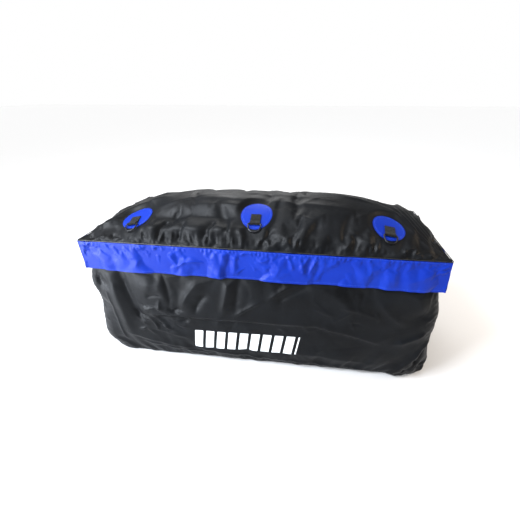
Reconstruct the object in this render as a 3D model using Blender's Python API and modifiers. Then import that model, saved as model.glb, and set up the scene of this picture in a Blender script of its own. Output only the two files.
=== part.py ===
"""Soft cargo bag for a hitch-mounted tray.

A welded bag of coated fabric stands in its loaded shape. Its domed lid turns on a fabric hinge
along the rear rim, a two-way zip closes the other three sides, and blue storm flaps hang over
the zip. Six lashing rings lie on round patches on the lid. Metres, +Z up, +X along the bag,
and the front of the bag faces -Y. The origin is on the floor under the middle of the bag.
"""

import math

import bmesh
import bpy
from mathutils import Matrix, Vector

# Fits between neighbouring solids
GAP = 0.0005
CORNER_SLIT = 0.0004

# Rim of the bag, where the lid is sewn on
RIM_HALF_LENGTH = 0.700
RIM_HALF_DEPTH = 0.240
RIM_HEIGHT = 0.600

# Bag walls: height, half length, half depth and corner radius at each level of the outer face
FOOT = (0.004, 0.768, 0.266, 0.115)
BELLY = (0.100, 0.775, 0.274, 0.105)
WAIST = (0.330, 0.735, 0.258, 0.060)
COLLAR = (0.545, 0.690, 0.230, 0.020)
REAR_TOP = (0.598, 0.690, 0.230, 0.020)
WALL_LEVELS = (FOOT, BELLY, WAIST, COLLAR, REAR_TOP)
WALL_TOP = 0.567
WALL_THICKNESS = 0.0025
BASE_THICKNESS = 0.0035
CORNER_STEPS = 6
CORNER_TAPE_THICKNESS = 0.001
CORNER_TAPE_LOW = 0.020
CORNER_TAPE_HIGH = 0.540

# Lid: a shallow dome on a rectangular plan, fuller towards its right end than its left
DOME_RISE = 0.120
DOME_LENGTH_POWERS = (3.0, 4.0)
DOME_LENGTH_ROUNDING = 1.1
DOME_DEPTH_POWER = 2.0
DOME_DEPTH_ROUNDING = 0.72
LID_THICKNESS = 0.004
LID_COLUMNS = 20
LID_ROWS = 12
PIPING_RADIUS = 0.0015
PIPING_LIFT = 0.0021

# Storm flaps and the band that is sewn flat at the rear
FLAP_TOP = 0.5985
FLAP_HEIGHT = 0.122
FLAP_FLARE = 0.080
FLAP_THICKNESS = 0.002
FLAP_SLIT = 0.0015
FLAP_AXIS_DROP = 0.001

# Hook strips inside the flaps and loop strips on the walls
STRIP_THICKNESS = 0.0012
STRIP_LOW = 0.488
STRIP_HIGH = 0.511
STRIP_SHARE = 0.86

# Zip: one plane just inside the rim, on the front and both ends
ZIP_HALF_LENGTH = 0.691
ZIP_HALF_DEPTH = 0.231
ZIP_CORNER = 0.021
ZIP_REAR_END = 0.200
ZIP_HEIGHT = 0.5755
TAPE_THICKNESS = 0.001
LOWER_TAPE = (0.5560, 0.5720)
UPPER_TAPE = (0.5790, 0.5995)
COIL_THICKNESS = 0.003
COIL_NEAR = 0.0009
COIL_FAR = 0.0031
STOP_LENGTH = 0.006

# Zip sliders and their pull tabs
SLIDER_PITCH = 0.028
SLIDER_LENGTH = 0.024
SLIDER_HALF_HEIGHT = 0.007
SLIDER_POST = 0.0005
BACK_PLATE = (0.2275, 0.2290)
FRONT_PLATE = (0.2336, 0.2351)
ARCH_HALF_WIDTH = 0.0025
ARCH_INNER_HALF_HEIGHT = 0.0048
ARCH_THICKNESS = 0.0012
ARCH_REACH = 0.0030
TAB_AXIS_DROP = 0.0030
TAB_AXIS_REACH = 0.0015
TAB_THICKNESS = 0.0016
TAB_HALF_WIDTH = 0.0055
TAB_LENGTH = 0.036
TAB_HOLE_HALF_WIDTH = 0.0032
TAB_HOLE_LENGTH = 0.010

# Lashing points on the lid
PATCH_RADIUS = 0.060
PATCH_THICKNESS = 0.0015
PATCH_ROW = 0.133
PATCH_COLUMNS = {"left": -0.494, "middle": 0.0, "right": 0.494}
PATCH_ROWS = {"front": -1.0, "rear": 1.0}
WEBBING_WIDTH = 0.038
WEBBING_THICKNESS = 0.0016
WEBBING_LENGTH = 0.046
WEBBING_SEAT = 0.022
RING_WIRE_RADIUS = 0.0025
RING_PLAY = 0.0006
RING_HALF_WIDTH = 0.0245
RING_DEPTH = 0.034
RING_CORNER = 0.0045
RING_REST_REACH = 0.020

COLOURS = {
    "black_fabric": ((0.012, 0.013, 0.014, 1.0), 0.45, 0.0),
    "blue_fabric": ((0.012, 0.050, 0.560, 1.0), 0.42, 0.0),
    "webbing": ((0.010, 0.010, 0.011, 1.0), 0.80, 0.0),
    "zip_tape": ((0.014, 0.014, 0.015, 1.0), 0.85, 0.0),
    "zip_coil": ((0.008, 0.008, 0.009, 1.0), 0.45, 0.0),
    "hook_and_loop": ((0.020, 0.020, 0.022, 1.0), 0.95, 0.0),
    "piping": ((0.010, 0.010, 0.011, 1.0), 0.40, 0.0),
    "ring_metal": ((0.030, 0.031, 0.033, 1.0), 0.30, 0.9),
    "slider_metal": ((0.200, 0.205, 0.210, 1.0), 0.30, 1.0),
}


def start_scene():
    """Remove every object and make one collection for the bag and one for its cutters."""
    for old in list(bpy.data.objects):
        bpy.data.objects.remove(old, do_unlink=True)
    collections = {}
    for name in ("hitch_cargo_bag", "cutters"):
        collection = bpy.data.collections.new(name)
        bpy.context.scene.collection.children.link(collection)
        collections[name] = collection
    return collections


COLLECTIONS = start_scene()


def finish_object(obj, finish, cutter=False):
    """Give an object its own material and its place in a collection."""
    if cutter:
        COLLECTIONS["cutters"].objects.link(obj)
        obj.hide_render = True
        obj.display_type = "WIRE"
        return obj
    colour, roughness, metallic = COLOURS[finish]
    material = bpy.data.materials.new(obj.name)
    material.use_nodes = True
    shader = material.node_tree.nodes["Principled BSDF"]
    shader.inputs["Base Color"].default_value = colour
    shader.inputs["Roughness"].default_value = roughness
    shader.inputs["Metallic"].default_value = metallic
    obj.data.materials.append(material)
    COLLECTIONS["hitch_cargo_bag"].objects.link(obj)
    return obj


def object_from_bmesh(name, mesh_data, finish, cutter=False):
    """Turn a bmesh into a named object."""
    mesh = bpy.data.meshes.new(name)
    mesh_data.to_mesh(mesh)
    mesh_data.free()
    return finish_object(bpy.data.objects.new(name, mesh), finish, cutter)


def grid_surface(rows, inside=Vector((0.0, 0.0, 0.3))):
    """Make an open surface from rows of points, with its faces turned away from a point inside."""
    surface = bmesh.new()
    grid = [[surface.verts.new(point) for point in row] for row in rows]
    for low, high in zip(grid, grid[1:]):
        for near_low, far_low, near_high, far_high in zip(low, low[1:], high, high[1:]):
            surface.faces.new((near_low, far_low, far_high, near_high))
    surface.normal_update()
    outwardness = sum(face.normal.dot(face.calc_center_median() - inside) for face in surface.faces)
    if outwardness < 0.0:
        bmesh.ops.reverse_faces(surface, faces=surface.faces)
    return surface


def shell(name, rows, thickness, finish):
    """Make a sheet of the given thickness that grows outwards from rows of points."""
    sheet = object_from_bmesh(name, grid_surface(rows), finish)
    solidify = sheet.modifiers.new("thickness", "SOLIDIFY")
    solidify.thickness = thickness
    solidify.offset = 1.0
    solidify.use_even_offset = True
    return sheet


def flat_outline(name, outlines, half_thickness, finish):
    """Make a flat plate from closed outlines, the later ones being holes in the first."""
    curve = bpy.data.curves.new(name, "CURVE")
    curve.dimensions = "2D"
    curve.fill_mode = "BOTH"
    curve.extrude = half_thickness
    for outline in outlines:
        spline = curve.splines.new("POLY")
        spline.points.add(len(outline) - 1)
        for point, (x, y) in zip(spline.points, outline):
            point.co = (x, y, 0.0, 1.0)
        spline.use_cyclic_u = True
    return finish_object(bpy.data.objects.new(name, curve), finish)


def tube(name, points, radius, closed, finish):
    """Make a round tube through points."""
    curve = bpy.data.curves.new(name, "CURVE")
    curve.dimensions = "3D"
    curve.bevel_depth = radius
    curve.bevel_resolution = 2
    curve.use_fill_caps = not closed
    spline = curve.splines.new("POLY")
    spline.points.add(len(points) - 1)
    for spline_point, point in zip(spline.points, points):
        spline_point.co = (*point, 1.0)
    spline.use_cyclic_u = closed
    return finish_object(bpy.data.objects.new(name, curve), finish)


def cut(target, cutter, operation):
    """Add an exact Boolean to a target."""
    boolean = target.modifiers.new(operation.lower(), "BOOLEAN")
    boolean.operation = operation
    boolean.solver = "EXACT"
    boolean.object = cutter


def steps(start, stop, count):
    """Return count + 1 evenly spaced values from start to stop."""
    return [start + (stop - start) * index / count for index in range(count + 1)]


def arc(centre, radius, start_deg, stop_deg, count):
    """Return points along an arc in a plane."""
    angles = [math.radians(angle) for angle in steps(start_deg, stop_deg, count)]
    return [(centre[0] + radius * math.cos(a), centre[1] + radius * math.sin(a)) for a in angles]


# ---------------------------------------------------------------- bag walls and base


def wall_section(height):
    """Return the outer half length, half depth and corner radius of the bag at a height."""
    for low, high in zip(WALL_LEVELS, WALL_LEVELS[1:]):
        if height <= high[0]:
            share = (height - low[0]) / (high[0] - low[0])
            return [a + (b - a) * share for a, b in zip(low[1:], high[1:])]
    return list(WALL_LEVELS[-1][1:])


def level_heights(low, high):
    """Return the wall levels between two heights, with both ends."""
    between = [level[0] for level in WALL_LEVELS if low < level[0] < high]
    return [low, *between, high]


def straight_wall_rows(side, low, high, inset, share=1.0):
    """Return rows of points on one flat side of the bag, inset from its outer face."""
    rows = []
    for height in level_heights(low, high):
        half_length, half_depth, radius = wall_section(height)
        if side in ("front", "rear"):
            reach = (half_length - radius - CORNER_SLIT) * share
            across = (half_depth - inset) * PATCH_ROWS[side]
            rows.append([(-reach, across, height), (reach, across, height)])
        else:
            reach = (half_depth - radius - CORNER_SLIT) * share
            along = math.copysign(half_length - inset, PATCH_COLUMNS[side])
            rows.append([(along, -reach, height), (along, reach, height)])
    return rows


def corner_rows(side_x, side_y, low, high, inset, first_step=0, last_step=CORNER_STEPS):
    """Return rows of points round one corner of the bag."""
    rows = []
    for height in level_heights(low, high):
        half_length, half_depth, radius = wall_section(height)
        centre = (half_length - radius, half_depth - radius)
        quarter = arc(centre, radius - inset, 0.0, 90.0, CORNER_STEPS)[first_step:last_step + 1]
        rows.append([(side_x * x, side_y * y, height) for x, y in quarter])
    return rows


def build_base():
    """Make the flat base panel that the bag stands on."""
    _, half_length, half_depth, radius = FOOT
    outline = []
    for start, side_x, side_y in ((0, 1, 1), (90, -1, 1), (180, -1, -1), (270, 1, -1)):
        centre = (side_x * (half_length - radius), side_y * (half_depth - radius))
        outline += arc(centre, radius, start, start + 90, CORNER_STEPS)
    base = flat_outline("base_panel", [outline], BASE_THICKNESS / 2, "black_fabric")
    base.location.z = BASE_THICKNESS / 2


def build_walls():
    """Make the four wall panels, the four corner panels and the welded tapes inside them."""
    for side, name in (("front", "front_wall"), ("rear", "rear_wall"),
                       ("left", "left_end_wall"), ("right", "right_end_wall")):
        top = REAR_TOP[0] if side == "rear" else WALL_TOP
        rows = straight_wall_rows(side, FOOT[0], top, WALL_THICKNESS)
        shell(name, rows, WALL_THICKNESS, "black_fabric")
    for row_name, side_y in PATCH_ROWS.items():
        for column_name, side_x in (("left", -1.0), ("right", 1.0)):
            corner = f"{row_name}_{column_name}_corner"
            top = REAR_TOP[0] if row_name == "rear" else WALL_TOP
            rows = corner_rows(side_x, side_y, FOOT[0], top, WALL_THICKNESS)
            shell(f"{corner}_panel", rows, WALL_THICKNESS, "black_fabric")
            inset = WALL_THICKNESS + GAP + CORNER_TAPE_THICKNESS
            rows = corner_rows(side_x, side_y, CORNER_TAPE_LOW, CORNER_TAPE_HIGH, inset,
                               1, CORNER_STEPS - 1)
            shell(f"{corner}_tape", rows, CORNER_TAPE_THICKNESS, "black_fabric")


# ---------------------------------------------------------------- storm flaps


def flap_rows(side, low, high, inset, share=1.0):
    """Return rows of points on the inner face of one flap, inset towards the bag."""
    rows = []
    for height in (low, high):
        flare = (FLAP_TOP - height) * FLAP_FLARE + GAP
        length = RIM_HALF_LENGTH + flare
        depth = RIM_HALF_DEPTH + flare
        if side in ("front", "rear"):
            reach = (length - FLAP_SLIT) * share
            across = (depth - inset) * PATCH_ROWS[side]
            rows.append([(-reach, across, height), (reach, across, height)])
        else:
            reach = (depth - FLAP_SLIT) * share
            along = math.copysign(length - inset, PATCH_COLUMNS[side])
            rows.append([(along, -reach, height), (along, reach, height)])
    return rows


def flap_axis_point(side):
    """Return a point on the line about which one flap turns."""
    reach = GAP + FLAP_THICKNESS / 2
    height = FLAP_TOP - FLAP_AXIS_DROP
    if side == "front":
        return Vector((0.0, -(RIM_HALF_DEPTH + reach), height))
    return Vector((math.copysign(RIM_HALF_LENGTH + reach, PATCH_COLUMNS[side]), 0.0, height))


def hang_from(piece, point):
    """Parent a piece to an empty that stands on its joint's axis, without moving it."""
    pivot = bpy.data.objects.new(f"{piece.name}_pivot", None)
    pivot.location = point
    COLLECTIONS["hitch_cargo_bag"].objects.link(pivot)
    piece.parent = pivot
    piece.matrix_parent_inverse = Matrix.Translation(-point)


def build_flaps():
    """Make the three hanging storm flaps, the rear band and the hook and loop strips."""
    low = FLAP_TOP - FLAP_HEIGHT
    for side in ("front", "left", "right"):
        rows = flap_rows(side, low, FLAP_TOP, 0.0)
        flap = shell(f"{side}_storm_flap", rows, FLAP_THICKNESS, "blue_fabric")
        rows = flap_rows(side, STRIP_LOW, STRIP_HIGH, GAP + STRIP_THICKNESS, STRIP_SHARE)
        hook_strip = shell(f"{side}_hook_strip", rows, STRIP_THICKNESS, "hook_and_loop")
        rows = straight_wall_rows(side, STRIP_LOW, STRIP_HIGH, -GAP, STRIP_SHARE)
        shell(f"{side}_loop_strip", rows, STRIP_THICKNESS, "hook_and_loop")
        for piece in (flap, hook_strip):
            hang_from(piece, flap_axis_point(side))
    rows = flap_rows("rear", low, FLAP_TOP, 0.0)
    shell("rear_band", rows, FLAP_THICKNESS, "blue_fabric")


# ---------------------------------------------------------------- zip


def zip_path(offset):
    """Return the plan of the zip from its left rear end round the front to its right rear end."""
    half_length = ZIP_HALF_LENGTH + offset
    half_depth = ZIP_HALF_DEPTH + offset
    radius = ZIP_CORNER + offset
    centre = (half_length - radius, half_depth - radius)
    quarter = arc(centre, radius, 0.0, 90.0, CORNER_STEPS)
    left = [(-x, -y) for x, y in quarter]
    right = [(x, -y) for x, y in reversed(quarter)]
    return [(-half_length, ZIP_REAR_END), *left, *right, (half_length, ZIP_REAR_END)]


def zip_strip(name, low, high, thickness, finish):
    """Make one strip of the zip between two heights."""
    inner = zip_path(-thickness / 2)
    rows = [[(x, y, height) for x, y in inner] for height in (low, high)]
    return shell(name, rows, thickness, finish)


def build_zip():
    """Make both zip tapes, both coils and the stops at the rear ends."""
    zip_strip("lower_zip_tape", *LOWER_TAPE, TAPE_THICKNESS, "zip_tape")
    zip_strip("upper_zip_tape", *UPPER_TAPE, TAPE_THICKNESS, "zip_tape")
    zip_strip("lower_zip_coil", ZIP_HEIGHT - COIL_FAR, ZIP_HEIGHT - COIL_NEAR,
              COIL_THICKNESS, "zip_coil")
    zip_strip("upper_zip_coil", ZIP_HEIGHT + COIL_NEAR, ZIP_HEIGHT + COIL_FAR,
              COIL_THICKNESS, "zip_coil")
    for side in ("left", "right"):
        bpy.ops.mesh.primitive_cube_add(size=1.0)
        stop = bpy.context.object
        stop.name = f"{side}_zip_stop"
        bpy.context.collection.objects.unlink(stop)
        size = Vector((COIL_THICKNESS, STOP_LENGTH, COIL_FAR - COIL_NEAR))
        along = math.copysign(ZIP_HALF_LENGTH, PATCH_COLUMNS[side])
        across = ZIP_REAR_END + GAP + STOP_LENGTH / 2
        height = ZIP_HEIGHT - (COIL_NEAR + COIL_FAR) / 2
        stop.data.transform(Matrix.Translation((along, across, height)) @ Matrix.Diagonal((*size, 1.0)))
        finish_object(stop, "slider_metal")


def extrude_along_x(name, outlines, half_width, finish, cutter=False):
    """Make a mesh from outlines in the YZ plane, extruded both ways along X."""
    plate = flat_outline(name + "_outline", outlines, half_width, finish)
    bpy.context.view_layer.update()
    evaluated = plate.evaluated_get(bpy.context.evaluated_depsgraph_get())
    mesh = bpy.data.meshes.new_from_object(evaluated)
    bpy.data.objects.remove(plate, do_unlink=True)
    solid = bmesh.new()
    solid.from_mesh(mesh)
    bmesh.ops.remove_doubles(solid, verts=solid.verts, dist=1e-6)
    turn = Matrix(((0, 0, 1, 0), (1, 0, 0, 0), (0, 1, 0, 0), (0, 0, 0, 1)))
    bmesh.ops.transform(solid, matrix=turn, verts=solid.verts)
    bmesh.ops.recalc_face_normals(solid, faces=solid.faces)
    bpy.data.meshes.remove(mesh)
    return object_from_bmesh(name, solid, finish, cutter)


def build_slider(side, along):
    """Make one zip slider and its pull tab, with the slider's middle at a place along the zip."""
    low, high = -SLIDER_HALF_HEIGHT, SLIDER_HALF_HEIGHT
    back_in, back_out = (-value for value in BACK_PLATE)
    front_in, front_out = (-value for value in FRONT_PLATE)
    profile = [
        (back_in, low), (back_out, low), (back_out, -SLIDER_POST), (front_in, -SLIDER_POST),
        (front_in, low), (front_out, low), (front_out, high), (front_in, high),
        (front_in, SLIDER_POST), (back_out, SLIDER_POST), (back_out, high), (back_in, high),
    ]
    slider = extrude_along_x(f"{side}_zip_slider", [profile], SLIDER_LENGTH / 2, "slider_metal")
    root = front_out + GAP
    reach = front_out - ARCH_REACH
    inner = ARCH_INNER_HALF_HEIGHT
    outer = inner + ARCH_THICKNESS
    arch_profile = [
        (root, -outer), (root, -inner), (reach, -inner), (reach, inner), (root, inner),
        (root, outer), (reach - ARCH_THICKNESS, outer), (reach - ARCH_THICKNESS, -outer),
    ]
    arch = extrude_along_x(f"{side}_slider_arch", [arch_profile], ARCH_HALF_WIDTH, "slider_metal",
                           cutter=True)
    centre = Vector((along, 0.0, ZIP_HEIGHT))
    slider.location = centre
    arch.location = centre
    cut(slider, arch, "UNION")

    half = TAB_THICKNESS / 2
    foot = TAB_LENGTH - TAB_HALF_WIDTH
    outline = [(TAB_HALF_WIDTH, half), (-TAB_HALF_WIDTH, half)]
    outline += arc((0.0, -foot), TAB_HALF_WIDTH, 180.0, 360.0, 8)
    hole_low = -half - TAB_HOLE_LENGTH
    hole = [(-TAB_HOLE_HALF_WIDTH, -half), (TAB_HOLE_HALF_WIDTH, -half),
            (TAB_HOLE_HALF_WIDTH, hole_low), (-TAB_HOLE_HALF_WIDTH, hole_low)]
    tab = flat_outline(f"{side}_pull_tab", [outline, hole], half, "slider_metal")
    axis_depth = front_out - TAB_AXIS_REACH
    tab.location = (along, axis_depth, ZIP_HEIGHT - TAB_AXIS_DROP)
    tab.rotation_euler.x = math.pi / 2


# ---------------------------------------------------------------- lid


def dome_height(x, y):
    """Return the height of the lid's underside above the floor."""
    power = DOME_LENGTH_POWERS[0 if x < 0.0 else 1]
    along = max(0.0, 1.0 - abs(x / RIM_HALF_LENGTH) ** power)
    across = max(0.0, 1.0 - abs(y / RIM_HALF_DEPTH) ** DOME_DEPTH_POWER)
    rise = DOME_RISE * along ** DOME_LENGTH_ROUNDING * across ** DOME_DEPTH_ROUNDING
    return RIM_HEIGHT + rise


def dome_slab(name, columns, rows, lift, thickness, finish):
    """Make a slab of even upright thickness that follows the lid's facets."""
    points = [[(x, y, dome_height(x, y) + lift) for x in columns] for y in rows]
    surface = grid_surface(points)
    bmesh.ops.triangulate(surface, faces=surface.faces, quad_method="FIXED")
    under = list(surface.faces)
    raised = bmesh.ops.extrude_face_region(surface, geom=under, use_keep_orig=True)
    top = [item for item in raised["geom"] if isinstance(item, bmesh.types.BMVert)]
    bmesh.ops.translate(surface, vec=(0.0, 0.0, thickness), verts=top)
    bmesh.ops.recalc_face_normals(surface, faces=surface.faces)
    return object_from_bmesh(name, surface, finish)


def lid_columns():
    """Return the lid's column places, closer together towards its ends."""
    return [RIM_HALF_LENGTH * math.sin(angle) for angle in
            steps(-math.pi / 2, math.pi / 2, LID_COLUMNS)]


def lid_rows():
    """Return the lid's row places, closer together towards its front and rear."""
    return [RIM_HALF_DEPTH * math.sin(angle) for angle in
            steps(-math.pi / 2, math.pi / 2, LID_ROWS)]


def cells_round(places, middle, reach):
    """Return the grid places that enclose a stretch of the lid."""
    below = [place for place in places if place <= middle - reach]
    inside = [place for place in places if middle - reach < place < middle + reach]
    above = [place for place in places if place >= middle + reach]
    return [below[-1], *inside, above[0]]


def build_lid():
    """Make the lid panel and the piping round its front and ends."""
    dome_slab("lid_panel", lid_columns(), lid_rows(), 0.0, LID_THICKNESS, "black_fabric")
    reach = GAP + PIPING_RADIUS
    height = RIM_HEIGHT + PIPING_LIFT
    length = RIM_HALF_LENGTH + reach
    round_left = [(-x, -y) for x, y in arc((RIM_HALF_LENGTH, RIM_HALF_DEPTH), reach, 0.0, 90.0, 3)]
    round_right = [(-x, y) for x, y in reversed(round_left)]
    route = [(-length, RIM_HALF_DEPTH), *round_left, *round_right, (length, RIM_HALF_DEPTH)]
    tube("lid_piping", [(x, y, height) for x, y in route], PIPING_RADIUS, False, "piping")


def build_hinge_tape():
    """Make the tape along the rear rim that the lid turns on."""
    half_length = wall_section(REAR_TOP[0])[0] - ZIP_CORNER
    depth_out = RIM_HALF_DEPTH - GAP
    depth_in = depth_out - 0.011
    outline = [(-half_length, depth_in), (half_length, depth_in),
               (half_length, depth_out), (-half_length, depth_out)]
    half = 0.0005
    tape = flat_outline("hinge_tape", [outline], half, "black_fabric")
    tape.location.z = REAR_TOP[0] + GAP + half


def surface_frame(x, y):
    """Return the lid's slope as unit vectors: along the bag, up the face and out of it."""
    step = 0.001
    slope_x = (dome_height(x + step, y) - dome_height(x - step, y)) / (2 * step)
    slope_y = (dome_height(x, y + step) - dome_height(x, y - step)) / (2 * step)
    along = Vector((1.0, 0.0, slope_x)).normalized()
    normal = Vector((-slope_x, -slope_y, 1.0)).normalized()
    return along, normal.cross(along), normal


def place_on_lid(obj, origin, local_x, local_y):
    """Place an object with its X and Y axes along two unit vectors."""
    local_z = local_x.cross(local_y)
    turn = Matrix((local_x, local_y, local_z)).transposed()
    obj.matrix_world = Matrix.Translation(origin) @ turn.to_4x4()


def webbing_outlines():
    """Return the side view of the webbing: a flat tongue, and a loop round the ring's bar."""
    inner = RING_WIRE_RADIUS + RING_PLAY
    outer = inner + WEBBING_THICKNESS
    folded = 2 * WEBBING_THICKNESS
    throat = WEBBING_LENGTH - 3 * outer
    outline = [(0.0, 0.0)]
    outline += arc((WEBBING_LENGTH, outer), outer, -90.0, 90.0, 8)
    outline += [(throat, folded), (0.0, folded)]
    hole = arc((WEBBING_LENGTH, outer), inner, 0.0, 337.5, 15)
    return [outline, hole]


def ring_centre_line():
    """Return the middle of the ring's wire: a straight bar and a rounded bow."""
    inner = RING_HALF_WIDTH - RING_CORNER
    right = arc((inner, RING_CORNER), RING_CORNER, -90.0, 0.0, 3)
    bow_depth = RING_DEPTH - RING_CORNER
    bow = [(RING_HALF_WIDTH * math.copysign(abs(math.cos(a)) ** 0.85, math.cos(a)),
            RING_CORNER + bow_depth * math.sin(a)) for a in steps(0.0, math.pi, 12)][1:-1]
    left = [(-x, y) for x, y in reversed(right)]
    return [*right, *bow, *left]


def build_lashing_point(row_name, column_name):
    """Make one round patch with its webbing loop and its ring."""
    side_y = PATCH_ROWS[row_name]
    x = PATCH_COLUMNS[column_name]
    y = PATCH_ROW * side_y
    place = f"{row_name}_{column_name}"
    lift = LID_THICKNESS + GAP
    patch = dome_slab(f"{place}_patch", cells_round(lid_columns(), x, PATCH_RADIUS),
                      cells_round(lid_rows(), y, PATCH_RADIUS), lift, PATCH_THICKNESS, "blue_fabric")
    cookie = bmesh.new()
    bmesh.ops.create_cone(cookie, cap_ends=True, segments=32, radius1=PATCH_RADIUS,
                          radius2=PATCH_RADIUS, depth=2 * DOME_RISE,
                          matrix=Matrix.Translation((x, y, dome_height(x, y))))
    cutter = object_from_bmesh(f"{place}_patch_outline", cookie, "blue_fabric", cutter=True)
    cut(patch, cutter, "INTERSECT")

    seat_y = y + side_y * WEBBING_SEAT
    along, up_face, normal = surface_frame(x, seat_y)
    downhill = up_face * side_y
    stack = Vector((0.0, 0.0, lift + PATCH_THICKNESS + GAP))
    seat = Vector((x, seat_y, dome_height(x, seat_y))) + stack
    tongue_start = seat - downhill * WEBBING_SEAT
    webbing = flat_outline(f"{place}_webbing", webbing_outlines(), WEBBING_WIDTH / 2, "webbing")
    place_on_lid(webbing, tongue_start, downhill, normal)

    loop_radius = RING_WIRE_RADIUS + RING_PLAY + WEBBING_THICKNESS
    axis_point = tongue_start + downhill * WEBBING_LENGTH + normal * loop_radius
    _, rest_up, _ = surface_frame(x, axis_point.y + side_y * RING_REST_REACH)
    rest_down = (rest_up - along * rest_up.dot(along)).normalized() * side_y
    points = [(px, py, 0.0) for px, py in ring_centre_line()]
    ring = tube(f"{place}_ring", points, RING_WIRE_RADIUS, True, "ring_metal")
    place_on_lid(ring, axis_point, along, rest_down)


def main():
    """Build the bag from the floor up."""
    build_base()
    build_walls()
    build_flaps()
    build_zip()
    for side, direction in (("left", -1.0), ("right", 1.0)):
        build_slider(side, direction * SLIDER_PITCH / 2)
    build_lid()
    build_hinge_tape()
    for row_name in PATCH_ROWS:
        for column_name in PATCH_COLUMNS:
            build_lashing_point(row_name, column_name)


main()
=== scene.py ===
"""Looks of the soft cargo bag: coated fabric, flaps, zip, lashing points, floor, lights and camera.

Metres, +Z up, and the front of the bag faces -Y. Each class builds one sub-assembly of the bag in
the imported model's frame, dresses it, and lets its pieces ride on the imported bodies.
"""

import functools
import logging
import math
from dataclasses import dataclass
from enum import Enum

import bmesh
import bpy
import numpy as np
from mathutils import Matrix, Vector
from mathutils.bvhtree import BVHTree


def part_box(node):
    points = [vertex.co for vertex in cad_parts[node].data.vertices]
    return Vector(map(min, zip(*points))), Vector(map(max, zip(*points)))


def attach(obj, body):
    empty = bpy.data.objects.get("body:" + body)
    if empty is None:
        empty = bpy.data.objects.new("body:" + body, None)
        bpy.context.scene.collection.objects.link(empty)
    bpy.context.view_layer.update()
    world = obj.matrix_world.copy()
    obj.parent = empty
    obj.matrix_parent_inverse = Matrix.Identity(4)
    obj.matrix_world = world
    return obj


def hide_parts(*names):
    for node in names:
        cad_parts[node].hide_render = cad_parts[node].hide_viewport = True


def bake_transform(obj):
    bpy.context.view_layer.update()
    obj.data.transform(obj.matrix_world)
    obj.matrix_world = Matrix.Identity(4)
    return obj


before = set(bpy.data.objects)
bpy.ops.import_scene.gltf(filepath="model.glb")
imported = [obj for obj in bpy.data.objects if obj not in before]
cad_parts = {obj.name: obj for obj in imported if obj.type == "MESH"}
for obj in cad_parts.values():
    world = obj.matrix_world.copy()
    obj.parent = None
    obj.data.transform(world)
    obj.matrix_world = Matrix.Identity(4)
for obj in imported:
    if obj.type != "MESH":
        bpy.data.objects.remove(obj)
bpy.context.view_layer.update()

LOG = logging.getLogger("cargo_bag")

# The rim, where the lid is sewn to the bag, and the lid's dome above it
RIM_HALF_LENGTH = 0.7
RIM_HALF_DEPTH = 0.24
RIM_HEIGHT = 0.6
DOME_RISE = 0.12
LID_THICKNESS = 0.004

# The hook and loop strips, and the cut of the hook strips
STRIP_LOW, STRIP_HIGH = 0.488, 0.511
HOOK_LENGTHS = {True: 1.2, False: 0.41}


class Side(Enum):
    """The four sides of the bag, each with its direction along the rim and outwards."""

    FRONT = ((1.0, 0.0), (0.0, -1.0))
    RIGHT = ((0.0, 1.0), (1.0, 0.0))
    REAR = ((-1.0, 0.0), (0.0, 1.0))
    LEFT = ((0.0, -1.0), (-1.0, 0.0))

    @property
    def word(self) -> str:
        """The side's name in piece names."""
        return self.name.lower()

    @property
    def is_long(self) -> bool:
        """Whether the side is one of the two long ones."""
        return self in (Side.FRONT, Side.REAR)


# ---------------------------------------------------------------- small tools


def linear(colour: str) -> tuple[float, float, float, float]:
    """Turn an sRGB hex colour into linear RGBA."""
    channels = [int(colour[index:index + 2], 16) / 255 for index in (1, 3, 5)]
    return (*[c / 12.92 if c <= 0.04045 else ((c + 0.055) / 1.055) ** 2.4 for c in channels], 1.0)


def add_node(tree: bpy.types.NodeTree, kind: str, settings: dict | None = None,
             links: dict | None = None) -> bpy.types.Node:
    """Add one node with its settings and links.

    Args:
        tree: The node tree that takes the node.
        kind: The node's type, without its "ShaderNode" start.
        settings: Values by property name, or by input name or number.
        links: Output sockets by the name or number of the input they feed.

    Returns:
        The new node.
    """
    node = tree.nodes.new("ShaderNode" + kind)
    for key, value in (settings or {}).items():
        if isinstance(key, str) and hasattr(node, key):
            setattr(node, key, value)
        else:
            node.inputs[key].default_value = value
    for key, output in (links or {}).items():
        tree.links.new(output, node.inputs[key])
    return node


def new_material(name: str) -> tuple[bpy.types.Material, bpy.types.NodeTree, bpy.types.Node]:
    """Start a node material.

    Args:
        name: The material and how it was made.

    Returns:
        The material, its node tree and its shader.
    """
    made = bpy.data.materials.new(name)
    made.use_nodes = True
    return made, made.node_tree, made.node_tree.nodes["Principled BSDF"]


def pick(*objects: bpy.types.Object) -> None:
    """Select only these objects and make the first one active."""
    bpy.ops.object.select_all(action="DESELECT")
    for obj in objects:
        obj.select_set(True)
    bpy.context.view_layer.objects.active = objects[0]


def smooth_step(values: np.ndarray, low: float, high: float) -> np.ndarray:
    """Rise smoothly from 0 at low to 1 at high."""
    share = np.clip((values - low) / (high - low), 0.0, 1.0)
    return share * share * (3.0 - 2.0 * share)


def dome_height(x: np.ndarray, y: np.ndarray) -> np.ndarray:
    """Return the height of the lid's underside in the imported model.

    Args:
        x: Places along the bag.
        y: Places across it.

    Returns:
        The height at each place.
    """
    power = np.where(np.asarray(x) < 0.0, 3.0, 4.0)
    along = np.clip(1.0 - np.abs(x / RIM_HALF_LENGTH) ** power, 0.0, 1.0)
    across = np.clip(1.0 - np.abs(y / RIM_HALF_DEPTH) ** 2.0, 0.0, 1.0)
    return RIM_HEIGHT + DOME_RISE * along ** 1.1 * across ** 0.72


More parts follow.
